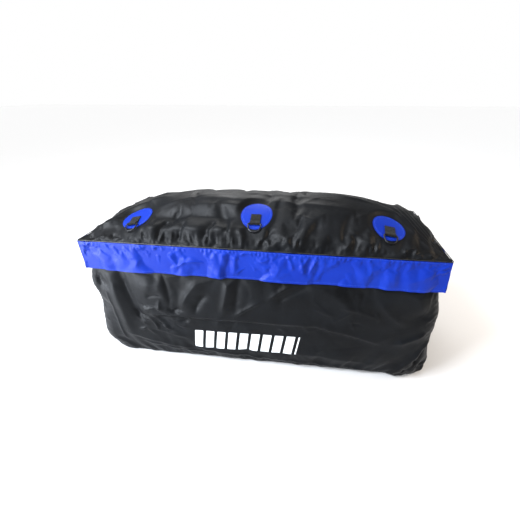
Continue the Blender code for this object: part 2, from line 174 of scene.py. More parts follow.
def twice_as_fine(values: np.ndarray, axis: int, cyclic: bool) -> np.ndarray:
    """Put a smooth in-between value after each value along one axis.

    Args:
        values: A grid of values.
        axis: The axis to refine.
        cyclic: Whether the grid closes on itself along that axis.

    Returns:
        The finer grid.
    """
    values = np.moveaxis(values, axis, 0)
    if cyclic:
        before, after, beyond = np.roll(values, 1, 0), np.roll(values, -1, 0), np.roll(values, -2, 0)
    else:
        padded = np.concatenate([2 * values[:1] - values[1:2], values, 2 * values[-1:] - values[-2:-1]])
        before, after, beyond = padded[:-3], padded[2:-1], padded[3:]
        values, last = values[:-1], values[-1:]
    between = (9.0 * (values + after) - before - beyond) / 16.0
    result = np.stack([values, between], 1).reshape(-1, *values.shape[1:])
    if not cyclic:
        result = np.concatenate([result, last])
    return np.moveaxis(result, 0, axis)


def finish_mesh(obj: bpy.types.Object, material: bpy.types.Material, angle: float = 40.0) -> None:
    """Smooth a piece up to an angle and give it its material.

    Args:
        obj: The piece.
        material: Its material.
        angle: The sharpest angle that stays smooth, in degrees.
    """
    pick(obj)
    bpy.ops.object.shade_smooth_by_angle(angle=math.radians(angle))
    obj.data.materials.clear()
    obj.data.materials.append(material)


def mesh_piece(name: str, points: np.ndarray, faces: list, material: bpy.types.Material,
               flat: np.ndarray | None = None, angle: float = 40.0) -> bpy.types.Object:
    """Make a piece from points and faces.

    Args:
        name: The piece's name.
        points: Places of the points, in metres.
        faces: Point numbers of each face.
        material: The finish.
        flat: The flat place of each face corner, in metres, for the UV map.
        angle: The sharpest angle that is shaded smooth, in degrees.

    Returns:
        The new object, at the origin.
    """
    mesh = bpy.data.meshes.new(name)
    mesh.from_pydata(points.reshape(-1, 3).tolist(), [], faces)
    if flat is not None:
        mesh.uv_layers.new(name="flat").data.foreach_set("uv", flat.astype(np.float32).ravel())
    mesh.update()
    obj = bpy.data.objects.new(name, mesh)
    bpy.context.scene.collection.objects.link(obj)
    finish_mesh(obj, material, angle)
    return obj


# ---------------------------------------------------------------- cloth


@dataclass
class Cloth:
    """A sheet of cloth as a grid of points, with the flat place that each was cut from."""

    points: np.ndarray
    flat: np.ndarray
    cyclic: bool = False

    @property
    def normals(self) -> np.ndarray:
        """Unit normals on the outer face.

        Returns:
            One unit vector for each point.
        """
        if self.cyclic:
            along = np.roll(self.points, -1, 1) - np.roll(self.points, 1, 1)
        else:
            along = np.gradient(self.points, axis=1)
        normals = np.cross(along, np.gradient(self.points, axis=0))
        return normals / np.maximum(np.linalg.norm(normals, axis=2, keepdims=True), 1e-12)

    def finer(self) -> "Cloth":
        """Return the same sheet with twice as many rows and columns.

        Returns:
            The finer sheet.
        """
        points = twice_as_fine(twice_as_fine(self.points, 0, False), 1, self.cyclic)
        flat = twice_as_fine(twice_as_fine(self.flat, 0, False), 1, False)
        return Cloth(points, flat, self.cyclic)

    def pushed(self, distance: np.ndarray | float) -> "Cloth":
        """Return the sheet moved outwards by a distance."""
        moved = self.points + self.normals * np.asarray(distance)[..., None]
        return Cloth(moved, self.flat, self.cyclic)

    def part(self, rows: slice, columns: np.ndarray) -> "Cloth":
        """Return a part of the sheet as an open sheet of its own.

        Args:
            rows: The rows that it takes.
            columns: The columns, which may run past the end of a closed sheet.

        Returns:
            The part.
        """
        count = self.points.shape[1]
        flat = self.flat[rows][:, columns % count].copy()
        flat[..., 0] += (columns // count) * (self.flat[0, -1, 0] - self.flat[0, 0, 0])
        return Cloth(self.points[rows][:, columns % count], flat)

    def at(self, rows: np.ndarray, columns: np.ndarray) -> tuple[np.ndarray, np.ndarray]:
        """Return points and normals at fractional rows and columns.

        Args:
            rows: Fractional rows.
            columns: Fractional columns.

        Returns:
            The points and the normals there.
        """
        count = self.points.shape[1]
        rows, columns = np.broadcast_arrays(np.asarray(rows, float), np.asarray(columns, float))
        rows = np.clip(rows, 0, self.points.shape[0] - 1.001)
        if not self.cyclic:
            columns = np.clip(columns, 0, count - 1.001)
        low_row, low_column = np.floor(rows).astype(int), np.floor(columns).astype(int)
        row_share, column_share = (rows - low_row)[..., None], (columns - low_column)[..., None]
        found = []
        for grid in (self.points, self.normals):
            near = grid[low_row, low_column % count]
            right = grid[low_row, (low_column + 1) % count]
            above = grid[low_row + 1, low_column % count]
            far = grid[low_row + 1, (low_column + 1) % count]
            low = near + (right - near) * column_share
            high = above + (far - above) * column_share
            found.append(low + (high - low) * row_share)
        return found[0], found[1]

    def solid(self, name: str, thickness: np.ndarray | float, material: bpy.types.Material,
              angle: float = 60.0) -> bpy.types.Object:
        """Make a closed piece of cloth that grows inwards from the outer face.

        Args:
            name: The piece's name.
            thickness: The cloth's thickness, in metres.
            material: The finish.
            angle: The sharpest angle that is shaded smooth, in degrees.

        Returns:
            The new piece.
        """
        rows, columns = self.points.shape[:2]
        inner = self.points - self.normals * np.broadcast_to(thickness, (rows, columns))[..., None]
        points = np.concatenate([self.points.reshape(-1, 3), inner.reshape(-1, 3)])
        number = np.arange(rows * columns).reshape(rows, columns)
        place = np.arange(rows * self.flat.shape[1]).reshape(rows, -1)
        if self.cyclic:
            number = np.concatenate([number, number[:, :1]], 1)
        place = place[:, :number.shape[1]]
        behind = number + rows * columns
        quads, corners = [], []
        for grid, order in ((number, (0, 1, 2, 3)), (behind, (3, 2, 1, 0))):
            for source, target in ((grid, quads), (place, corners)):
                cell = [source[:-1, :-1], source[:-1, 1:], source[1:, 1:], source[1:, :-1]]
                target.append(np.stack([cell[k] for k in order], -1).reshape(-1, 4))
        edges = [(number[0], behind[0], place[0], True), (number[-1], behind[-1], place[-1], False)]
        if not self.cyclic:
            edges += [(number[:, 0], behind[:, 0], place[:, 0], False),
                      (number[:, -1], behind[:, -1], place[:, -1], True)]
        for outer, under, spot, turned in edges:
            quad = [outer[:-1], outer[1:], under[1:], under[:-1]]
            corner = [spot[:-1], spot[1:], spot[1:], spot[:-1]]
            if turned:
                quad, corner = quad[::-1], corner[::-1]
            quads.append(np.stack(quad, -1))
            corners.append(np.stack(corner, -1))
        flat = self.flat.reshape(-1, 2)[np.concatenate(corners).ravel()]
        return mesh_piece(name, points, np.concatenate(quads).tolist(), material, flat, angle)

    @property
    def flat_size(self) -> tuple[float, float]:
        """Width and length that the cloth was cut to."""
        size = self.flat.reshape(-1, 2).max(0) - self.flat.reshape(-1, 2).min(0)
        return float(size[0]), float(size[1])


@dataclass(frozen=True)
class Settling:
    """A cloth run that lets a loose sheet gather between the seams that hold it."""

    growth: float = 0.02
    pressure: float = 1.0
    stiffness: float = 40.0
    bending: float = 2.0
    steps: int = 24
    furthest: float = 0.02
    unevenness: float = 0.0015
    seed: int = 7

    def run(self, cloth: Cloth, held: np.ndarray) -> Cloth:
        """Let the cloth settle.

        Args:
            cloth: The sheet at its designed shape.
            held: 1 where a seam holds a point, down to 0 where it is free.

        Returns:
            The settled sheet, with no point further than the limit from where it was.
        """
        rows, columns = cloth.points.shape[:2]
        start = cloth.pushed(self.unevenness * uneven(rows, columns, self.seed, cloth.cyclic))
        number = np.arange(rows * columns).reshape(rows, columns)
        if cloth.cyclic:
            number = np.concatenate([number, number[:, :1]], 1)
        faces = np.stack([number[:-1, :-1], number[:-1, 1:], number[1:, 1:], number[1:, :-1]], -1)
        mesh = bpy.data.meshes.new("settling")
        mesh.from_pydata(start.points.reshape(-1, 3).tolist(), [], faces.reshape(-1, 4).tolist())
        obj = bpy.data.objects.new("settling", mesh)
        bpy.context.scene.collection.objects.link(obj)
        group = obj.vertex_groups.new(name="held")
        for weight in np.unique(np.round(held.ravel(), 1)):
            members = np.nonzero(np.round(held.ravel(), 1) == weight)[0]
            group.add(members.tolist(), float(weight), "REPLACE")
        modifier = obj.modifiers.new("settling", "CLOTH")
        modifier.point_cache.frame_start, modifier.point_cache.frame_end = 1, self.steps
        collisions = modifier.collision_settings
        collisions.use_collision = collisions.use_self_collision = False
        settings = modifier.settings
        settings.vertex_group_mass, settings.pin_stiffness = "held", 1.0
        settings.quality, settings.mass, settings.air_damping = 5, 0.3, 2.0
        settings.tension_stiffness = settings.compression_stiffness = self.stiffness
        settings.shear_stiffness, settings.bending_stiffness = self.stiffness / 3, self.bending
        settings.shrink_min = -self.growth
        settings.effector_weights.gravity = 0.0
        settings.use_pressure, settings.uniform_pressure_force = True, self.pressure
        for step in range(1, self.steps + 1):
            bpy.context.scene.frame_set(step)
        evaluated = obj.evaluated_get(bpy.context.evaluated_depsgraph_get())
        settled = np.empty(rows * columns * 3, np.float32)
        evaluated.data.vertices.foreach_get("co", settled)
        bpy.data.objects.remove(obj, do_unlink=True)
        move = settled.reshape(rows, columns, 3).astype(float) - cloth.points
        distance = np.maximum(np.linalg.norm(move, axis=2, keepdims=True), 1e-9)
        move *= self.furthest * np.tanh(distance / self.furthest) / distance
        LOG.info("settled %d points, furthest %.1f mm", rows * columns, 1000 * distance.max())
        return Cloth(cloth.points + move, cloth.flat, cloth.cyclic)


def uneven(rows: int, columns: int, seed: int, cyclic: bool, smoothing: int = 3) -> np.ndarray:
    """Return smooth seeded unevenness of about -1 to 1 on a grid.

    Args:
        rows: Rows of the grid.
        columns: Columns of the grid.
        seed: The seed of its numbers.
        cyclic: Whether the columns close on themselves.
        smoothing: How many times it is smoothed.

    Returns:
        The grid of unevenness.
    """
    values = np.random.default_rng(seed).standard_normal((rows, columns))
    for _ in range(smoothing * 4):
        values = (np.roll(values, 1, 1) + 2 * values + np.roll(values, -1, 1)) / 4
        padded = np.pad(values, ((1, 1), (0, 0)), mode="edge")
        values = (padded[:-2] + 2 * values + padded[2:]) / 4
    return values / max(float(values.std()), 1e-9) * 0.6


@dataclass(frozen=True)
class Fold:
    """A fold in a sheet: a ridge, or a valley where its height is negative.

    The start and end are flat places on the panel, along it and up it. The bend is how far the
    fold's middle bows to its left. The skew widens its left flank, a low sharpness rounds its
    flanks less, and the taper is the share of its length over which each end fades.
    """

    start: tuple[float, float]
    end: tuple[float, float]
    width: float
    height: float
    bend: float = 0.0
    skew: float = 1.0
    sharpness: float = 2.0
    taper: float = 0.35

    def rise(self, along: np.ndarray, up: np.ndarray) -> np.ndarray:
        """Return how far the fold lifts each place.

        Args:
            along: Places along the panel.
            up: Places up the panel.

        Returns:
            The lift at each place.
        """
        chord = np.subtract(self.end, self.start)
        length = float(np.hypot(*chord))
        unit = chord / length
        from_start = along - self.start[0], up - self.start[1]
        share = (from_start[0] * unit[0] + from_start[1] * unit[1]) / length
        aside = from_start[1] * unit[0] - from_start[0] * unit[1]
        aside = aside - self.bend * 4.0 * share * (1.0 - share)
        flank = np.where(aside > 0.0, self.width * self.skew, self.width)
        ends = smooth_step(share, 0.0, self.taper) * smooth_step(1.0 - share, 0.0, self.taper)
        return self.height * ends * np.exp(-np.abs(aside / flank) ** self.sharpness)


@dataclass(frozen=True)
class Crumple:
    """A patch of small seeded folds round one place on a panel."""

    centre: tuple[float, float]
    spread: tuple[float, float]
    count: int
    length: float
    width: float
    height: float
    seed: int
    angle: float = 0.0
    turn: float = 180.0

    def folds(self) -> list[Fold]:
        """Return the crumple's folds.

        Returns:
            The folds, the same ones every time.
        """
        chance = np.random.default_rng(self.seed)
        made = []
        for _ in range(self.count):
            middle = np.add(self.centre, chance.uniform(-1, 1, 2) * self.spread)
            angle = math.radians(self.angle + chance.uniform(-0.5, 0.5) * self.turn)
            half = np.multiply((math.cos(angle), math.sin(angle)),
                               self.length * chance.uniform(0.3, 0.7))
            made.append(Fold(tuple(middle - half), tuple(middle + half),
                             self.width * chance.uniform(0.6, 1.4),
                             self.height * chance.uniform(0.4, 1.0) * chance.choice((1, 1, -1)),
                             self.length * chance.uniform(-0.12, 0.12),
                             chance.uniform(0.6, 2.2), chance.uniform(1.1, 2.0), 0.45))
        return made


def lift_of(folds: tuple, along: np.ndarray, up: np.ndarray) -> np.ndarray:
    """Return how far folds and crumples lift each place on a panel.

    Args:
        folds: Folds and crumples.
        along: Places along the panel.
        up: Places up the panel.

    Returns:
        The lift at each place.
    """
    lift = np.zeros_like(along)
    for item in folds:
        for fold in item.folds() if isinstance(item, Crumple) else (item,):
            lift += fold.rise(along, up)
    return lift


# ---------------------------------------------------------------- finishes


@dataclass(frozen=True)
class CoatedFabric:
    """Polyester cloth coated with PVC on a knife coater: satin, softly dimpled by its threads.

    It shows a low even sheen, shallow creases where it was packed flat, and a faint haze where it
    has been handled. The threads are about 1 mm apart, drawn at 2 mm so that they show.
    """

    name: str
    colour: str
    haze: str
    roughness: float = 0.42
    specular: float = 0.5
    thread: float = 0.002
    crease: float = 1.0
    printed: bool = False

    @functools.cache
    def material(self) -> bpy.types.Material:
        """Make the material, which reads the piece's flat UV map in metres.

        Returns:
            The material.
        """
        made, tree, shader = new_material(self.name)
        flat = add_node(tree, "TexCoord").outputs["UV"]
        split = add_node(tree, "SeparateXYZ", links={0: flat})
        thread = 2.0 * math.pi / self.thread
        waves = []
        for axis in ("X", "Y"):
            scaled = add_node(tree, "Math", {"operation": "MULTIPLY", 1: thread}, {0: split.outputs[axis]})
            waves.append(add_node(tree, "Math", {"operation": "SINE"}, {0: scaled.outputs[0]}))
        weave = add_node(tree, "Math", {"operation": "MULTIPLY"},
                         {0: waves[0].outputs[0], 1: waves[1].outputs[0]})
        # Soft dents about 60 mm across, with finer ones in them
        dents = add_node(tree, "TexNoise", {"Scale": 13.0, "Detail": 3.5, "Roughness": 0.5,
                                            "Distortion": 0.4}, {"Vector": flat})
        # Thin packing creases that meet in corners, one every 90 mm or so
        warped = add_node(tree, "VectorMath", {"operation": "MULTIPLY_ADD", 1: (0.03, 0.03, 0.0)},
                          {0: dents.outputs["Color"], 2: flat})
        cells = add_node(tree, "TexVoronoi", {"feature": "DISTANCE_TO_EDGE", "Scale": 11.0},
                         {"Vector": warped.outputs[0]})
        crease = add_node(tree, "MapRange", {"interpolation_type": "SMOOTHSTEP", "From Min": 0.0,
                                             "From Max": 0.06, "To Min": 1.0, "To Max": 0.0},
                          {"Value": cells.outputs["Distance"]})
        cloudy = add_node(tree, "TexNoise", {"Scale": 7.0, "Detail": 3.0, "Roughness": 0.6},
                          {"Vector": flat})
        tone = add_node(tree, "MapRange", {"From Min": 0.35, "From Max": 0.75},
                        {"Value": cloudy.outputs["Fac"]})
        colour = add_node(tree, "Mix", {"data_type": "RGBA", 6: linear(self.colour),
                                        7: linear(self.haze)}, {0: tone.outputs[0]})
        shown = colour.outputs[2]
        gloss = add_node(tree, "MapRange", {"From Min": 0.3, "From Max": 0.7,
                                            "To Min": self.roughness - 0.05,
                                            "To Max": self.roughness + 0.08},
                         {"Value": dents.outputs["Fac"]})
        height = add_node(tree, "Bump", {"Strength": 0.3, "Distance": 0.00012},
                          {"Height": weave.outputs[0]})
        height = add_node(tree, "Bump", {"Strength": 0.3 * self.crease, "Distance": 0.003},
                          {"Height": dents.outputs["Fac"], "Normal": height.outputs[0]})
        height = add_node(tree, "Bump", {"Strength": 0.2 * self.crease, "Distance": 0.0006},
                          {"Height": crease.outputs[0], "Normal": height.outputs[0]})
        if self.printed:
            shown = self.print_bars(tree, shown)
        tree.links.new(shown, shader.inputs["Base Color"])
        tree.links.new(gloss.outputs[0], shader.inputs["Roughness"])
        tree.links.new(height.outputs[0], shader.inputs["Normal"])
        shader.inputs["Specular IOR Level"].default_value = self.specular
        shader.inputs["IOR"].default_value = 1.5
        return made

    def print_bars(self, tree: bpy.types.NodeTree, below: bpy.types.NodeSocket) -> bpy.types.NodeSocket:
        """Screen-print a plain row of slanted white bars on the cloth.

        Args:
            tree: The material's node tree.
            below: The colour of the cloth under the print.

        Returns:
            The colour of the printed cloth.
        """
        place = add_node(tree, "SeparateXYZ", links={0: add_node(tree, "TexCoord").outputs["Object"]})
        # The row slopes down a little to the left, and the bars lean to the right
        rise = add_node(tree, "Math", {"operation": "MULTIPLY_ADD", 1: -0.025, 2: -0.095},
                        {0: place.outputs["X"]})
        level = add_node(tree, "Math", {"operation": "ADD"}, {0: place.outputs["Z"], 1: rise.outputs[0]})
        lean = add_node(tree, "Math", {"operation": "MULTIPLY_ADD", 1: -0.16},
                        {0: place.outputs["Z"], 2: place.outputs["X"]})
        count = add_node(tree, "Math", {"operation": "MULTIPLY_ADD", 1: 1.0 / 0.052, 2: 20.0},
                         {0: lean.outputs[0]})
        phase = add_node(tree, "Math", {"operation": "FRACT"}, {0: count.outputs[0]})
        mask = None
        limits = ((phase.outputs[0], 0.0, 0.72, 0.012), (level.outputs[0], 0.0, 0.104, 0.0008),
                  (lean.outputs[0], -0.316, 0.162, 0.0008))
        for value, low, high, edge in limits:
            middle, half = (low + high) / 2, (high - low) / 2
            away = add_node(tree, "Math", {"operation": "SUBTRACT", 1: middle}, {0: value})
            away = add_node(tree, "Math", {"operation": "ABSOLUTE"}, {0: away.outputs[0]})
            inside = add_node(tree, "MapRange", {"From Min": half + edge, "From Max": half - edge},
                              {"Value": away.outputs[0]})
            mask = inside if mask is None else add_node(
                tree, "Math", {"operation": "MULTIPLY"}, {0: mask.outputs[0], 1: inside.outputs[0]})
        return add_node(tree, "Mix", {"data_type": "RGBA", 7: linear("#E9EDEE")},
                        {0: mask.outputs[0], 6: below}).outputs[2]


@dataclass(frozen=True)
class WovenTape:
    """Polypropylene or polyester yarn woven on a narrow loom: matt, with ribs across the tape.

    The ribs of the real tape are 1 to 1.5 mm apart and are drawn at their own size, since the
    tape is only seen close up.
    """

    name: str
    colour: str
    rib: float = 0.0015
    roughness: float = 0.78
    depth: float = 0.0004

    @functools.cache
    def material(self) -> bpy.types.Material:
        """Make the material, which reads the piece's flat UV map in metres.

        Returns:
            The material.
        """
        made, tree, shader = new_material(self.name)
        flat = add_node(tree, "TexCoord").outputs["UV"]
        split = add_node(tree, "SeparateXYZ", links={0: flat})
        across = add_node(tree, "Math", {"operation": "MULTIPLY", 1: 2 * math.pi / (1.6 * self.rib)},
                          {0: split.outputs["X"]})
        wave = add_node(tree, "Math", {"operation": "SINE"}, {0: across.outputs[0]})
        along = add_node(tree, "Math", {"operation": "MULTIPLY", 1: 2 * math.pi / self.rib},
                         {0: split.outputs["Y"]})
        shifted = add_node(tree, "Math", {"operation": "MULTIPLY_ADD", 1: 1.2},
                           {0: wave.outputs[0], 2: along.outputs[0]})
        ribs = add_node(tree, "Math", {"operation": "SINE"}, {0: shifted.outputs[0]})
        fuzz = add_node(tree, "TexNoise", {"Scale": 900.0, "Detail": 2.0}, {"Vector": flat})
        height = add_node(tree, "Math", {"operation": "MULTIPLY_ADD", 1: 0.5},
                          {0: fuzz.outputs["Fac"], 2: ribs.outputs[0]})
        bump = add_node(tree, "Bump", {"Strength": 0.8, "Distance": self.depth},
                        {"Height": height.outputs[0]})
        # The tape's colour is painted darker in the ribs' grooves and lighter on their crests, a painted
        # shade and highlight that follow the rib bump
        tone = add_node(tree, "MapRange", {"From Min": -1.0, "From Max": 1.0, "To Min": 0.55,
                                           "To Max": 1.25}, {"Value": ribs.outputs[0]})
        colour = add_node(tree, "Mix", {"data_type": "RGBA", "blend_type": "MULTIPLY", 0: 1.0,
                                        6: linear(self.colour)}, {7: tone.outputs[0]})
        tree.links.new(colour.outputs[2], shader.inputs["Base Color"])
        tree.links.new(bump.outputs[0], shader.inputs["Normal"])
        shader.inputs["Roughness"].default_value = self.roughness
        shader.inputs["Sheen Weight"].default_value = 0.05
        shader.inputs["Specular IOR Level"].default_value = 0.15
        return made


@dataclass(frozen=True)
class Pile:
    """Knitted nylon hook or loop pile: dull and fuzzy, its tufts about 1.5 mm apart."""

    name: str
    colour: str
    tuft: float = 0.0015

    @functools.cache
    def material(self) -> bpy.types.Material:
        """Make the material, which reads the piece's flat UV map in metres.

        Returns:
            The material.
        """
        made, tree, shader = new_material(self.name)
        flat = add_node(tree, "TexCoord").outputs["UV"]
        cells = add_node(tree, "TexVoronoi", {"Scale": 1.0 / self.tuft}, {"Vector": flat})
        bump = add_node(tree, "Bump", {"Strength": 0.9, "Distance": 0.0006, "invert": True},
                        {"Height": cells.outputs["Distance"]})
        # The tufts are painted lighter in their middles and darker at their edges, a painted highlight and
        # shade that follow the tuft bump
        tone = add_node(tree, "MapRange", {"From Min": 0.0, "From Max": 0.7, "To Min": 1.5,
                                           "To Max": 0.4}, {"Value": cells.outputs["Distance"]})
        colour = add_node(tree, "Mix", {"data_type": "RGBA", "blend_type": "MULTIPLY", 0: 1.0,
                                        6: linear(self.colour)}, {7: tone.outputs[0]})
        tree.links.new(colour.outputs[2], shader.inputs["Base Color"])
        tree.links.new(bump.outputs[0], shader.inputs["Normal"])
        shader.inputs["Roughness"].default_value = 0.95
        shader.inputs["Sheen Weight"].default_value = 0.5
        return made


@dataclass(frozen=True)
class Plain:
    """A hard or smooth finish with fine grain: moulded nylon, PVC cord or a plated casting.

    Its grain is a shallow bump with its size in metres, and its tone and gloss drift a little
    where hands and sliding parts have rubbed it.
    """

    name: str
    colour: str
    worn: str
    roughness: float
    metallic: float = 0.0
    grain: float = 0.002
    depth: float = 0.0001

    @functools.cache
    def material(self) -> bpy.types.Material:
        """Make the material, which reads Object coordinates.

        Returns:
            The material.
        """
        made, tree, shader = new_material(self.name)
        place = add_node(tree, "TexCoord").outputs["Object"]
        grain = add_node(tree, "TexNoise", {"Scale": 1.0 / self.grain, "Detail": 3.0},
                         {"Vector": place})
        rubbed = add_node(tree, "TexNoise", {"Scale": 120.0, "Detail": 4.0, "Roughness": 0.65},
                          {"Vector": place})
        share = add_node(tree, "MapRange", {"From Min": 0.52, "From Max": 0.72},
                         {"Value": rubbed.outputs["Fac"]})
        colour = add_node(tree, "Mix", {"data_type": "RGBA", 6: linear(self.colour),
                                        7: linear(self.worn)}, {0: share.outputs[0]})
        gloss = add_node(tree, "MapRange", {"From Min": 0.3, "From Max": 0.7,
                                            "To Min": self.roughness - 0.07,
                                            "To Max": self.roughness + 0.1},
                         {"Value": rubbed.outputs["Fac"]})
        bump = add_node(tree, "Bump", {"Strength": 0.6, "Distance": self.depth},
                        {"Height": grain.outputs["Fac"]})
        tree.links.new(colour.outputs[2], shader.inputs["Base Color"])
        tree.links.new(gloss.outputs[0], shader.inputs["Roughness"])
        tree.links.new(bump.outputs[0], shader.inputs["Normal"])
        shader.inputs["Metallic"].default_value = self.metallic
        return made


BLACK_CLOTH = CoatedFabric("pvc_coated_polyester_black", "#08090B", "#0E1013", specular=0.11)
PRINTED_CLOTH = CoatedFabric("pvc_coated_polyester_black_screen_printed", "#08090B", "#0E1013",
                             specular=0.11, printed=True)
BLUE_CLOTH = CoatedFabric("pvc_coated_polyester_blue", "#032384", "#0A2C92", roughness=0.4,
                          specular=0.13, crease=0.8)
WEBBING = WovenTape("polypropylene_webbing_woven", "#0A0A0B")
ZIP_TAPE = WovenTape("polyester_zip_tape_woven", "#131315", rib=0.001, depth=0.0002)
HINGE_CLOTH = CoatedFabric("pvc_coated_polyester_hinge", "#101214", "#1B1D1E", crease=0.3)
HOOKS = Pile("nylon_hook_pile_knitted", "#19191B", 0.0017)
LOOPS = Pile("nylon_loop_pile_knitted", "#1C1C1F", 0.0013)
COIL = Plain("nylon_zip_coil_extruded", "#141415", "#2A2A2C", 0.4)
PIPING = Plain("pvc_piping_cord_extruded", "#0B0B0C", "#151516", 0.42, grain=0.001)
THREAD_BLACK = Plain("polyester_thread_black_twisted", "#161617", "#222224", 0.7, grain=0.0006)
THREAD_BLUE = Plain("polyester_thread_blue_twisted", "#3F66F0", "#5A7DFA", 0.6, grain=0.0006)
RING_STEEL = Plain("steel_wire_black_enamelled", "#15161A", "#3A3C42", 0.3, 0.55, 0.003)
ZINC = Plain("zinc_die_cast_nickel_plated", "#8D9094", "#A9ACB0", 0.32, 1.0, 0.0015, 0.00003)


# ---------------------------------------------------------------- camera, lights and floor


@dataclass
class Studio:
    """The pale floor, the soft lights and the camera."""

    camera_place: tuple[float, float, float] = (0.2057, -1.0717, 1.0804)
    camera_pitch: float = 55.5
    camera_turn: float = 6.8
    lens: float = 18.256
    shift: tuple[float, float] = (-0.0406, 0.0267)
    bright_side: tuple[float, float, float] = (-0.48, -0.37, 0.8)

    def build(self) -> None:
        """Make the camera, the floor, the lights and the surroundings."""
        camera = bpy.data.objects.new("camera", bpy.data.cameras.new("camera"))
        camera.location = self.camera_place
        camera.rotation_euler = (math.radians(self.camera_pitch), 0.0, math.radians(self.camera_turn))
        camera.data.lens, camera.data.sensor_width = self.lens, 36.0
        camera.data.shift_x, camera.data.shift_y = self.shift
        bpy.context.scene.collection.objects.link(camera)
        bpy.context.scene.camera = camera
        bpy.context.scene.view_settings.view_transform = "Standard"
        self.floor()
        self.light("key", (-1.4, -1.0, 2.4), 0.9, 110.0, "#EEF5FF")
        self.light("low_left", (-2.2, -1.7, 0.6), 1.2, 120.0, "#EEF5FF")
        self.light("top_rear", (-0.5, 1.8, 2.1), 1.8, 38.0, "#FFFFFF")
        self.light("warm_fill", (2.4, -0.2, 1.9), 1.0, 30.0, "#FFE6C8")
        self.surroundings()

    def floor(self) -> None:
        """Lay the pale floor, painted darker near the bag."""
        bpy.ops.object.select_all(action="DESELECT")
        bpy.ops.mesh.primitive_plane_add(size=60.0, location=(0.0, 0.0, -0.0006))
        floor = bpy.context.object
        floor.name = "floor"
        material, tree, shader = new_material("paper_backdrop_matt")
        away = add_node(tree, "VectorMath", {"operation": "LENGTH"},
                        {0: add_node(tree, "TexCoord").outputs["Object"]})
        # The paper is painted darker near the bag, a painted shade that dims the floor's reflection and
        # bounce in the bag's black walls
        shade = add_node(tree, "MapRange", {"From Min": 0.9, "From Max": 3.5, "To Min": 0.6,
                                            "To Max": 0.97}, {"Value": away.outputs["Value"]})
        tree.links.new(shade.outputs[0], shader.inputs["Base Color"])
        shader.inputs["Roughness"].default_value = 0.9
        shader.inputs["Specular IOR Level"].default_value = 0.1
        floor.data.materials.append(material)

    def light(self, name: str, place: tuple[float, float, float], size: float, power: float,
              colour: str) -> None:
        """Hang one soft box that faces the bag.

        Args:
            name: The light's name.
            place: Where it hangs.
            size: The length of its side.
            power: Its power in watts.
            colour: Its sRGB hex colour.
        """
        lamp = bpy.data.lights.new(name, "AREA")
        lamp.shape, lamp.size, lamp.energy = "SQUARE", size, power
        lamp.color = linear(colour)[:3]
        holder = bpy.data.objects.new(name, lamp)
        holder.location = place
        holder.rotation_euler = (Vector((0.0, 0.0, 0.4)) - Vector(place)).to_track_quat("-Z", "Y").to_euler()
        bpy.context.scene.collection.objects.link(holder)

    def surroundings(self) -> None:
        """Make a pale room that is brighter high on the left, in front of the bag."""
        world = bpy.data.worlds.new("pale_room")
        bpy.context.scene.world = world
        world.use_nodes = True
        tree = world.node_tree
        tree.nodes.clear()
        toward = add_node(tree, "VectorMath", {"operation": "DOT_PRODUCT", 1: self.bright_side},
                          {0: add_node(tree, "TexCoord").outputs["Generated"]})
        strength = add_node(tree, "MapRange", {"From Min": 0.6, "From Max": 1.0, "To Min": 0.32,
                                               "To Max": 3.0}, {"Value": toward.outputs["Value"]})
        room = add_node(tree, "Background", {"Color": (1.0, 1.0, 1.0, 1.0)},
                        {"Strength": strength.outputs[0]})
        seen = add_node(tree, "Background", {"Color": (1.0, 1.0, 1.0, 1.0), "Strength": 1.0})
        path = add_node(tree, "LightPath")
        # Shiny surfaces mirror a dimmer room, as between soft boxes; all else sees an even white one
        mixed = add_node(tree, "MixShader", links={0: path.outputs["Is Glossy Ray"],
                                                   1: seen.outputs[0], 2: room.outputs[0]})
        add_node(tree, "OutputWorld", links={0: mixed.outputs[0]})


# ---------------------------------------------------------------- walls and base


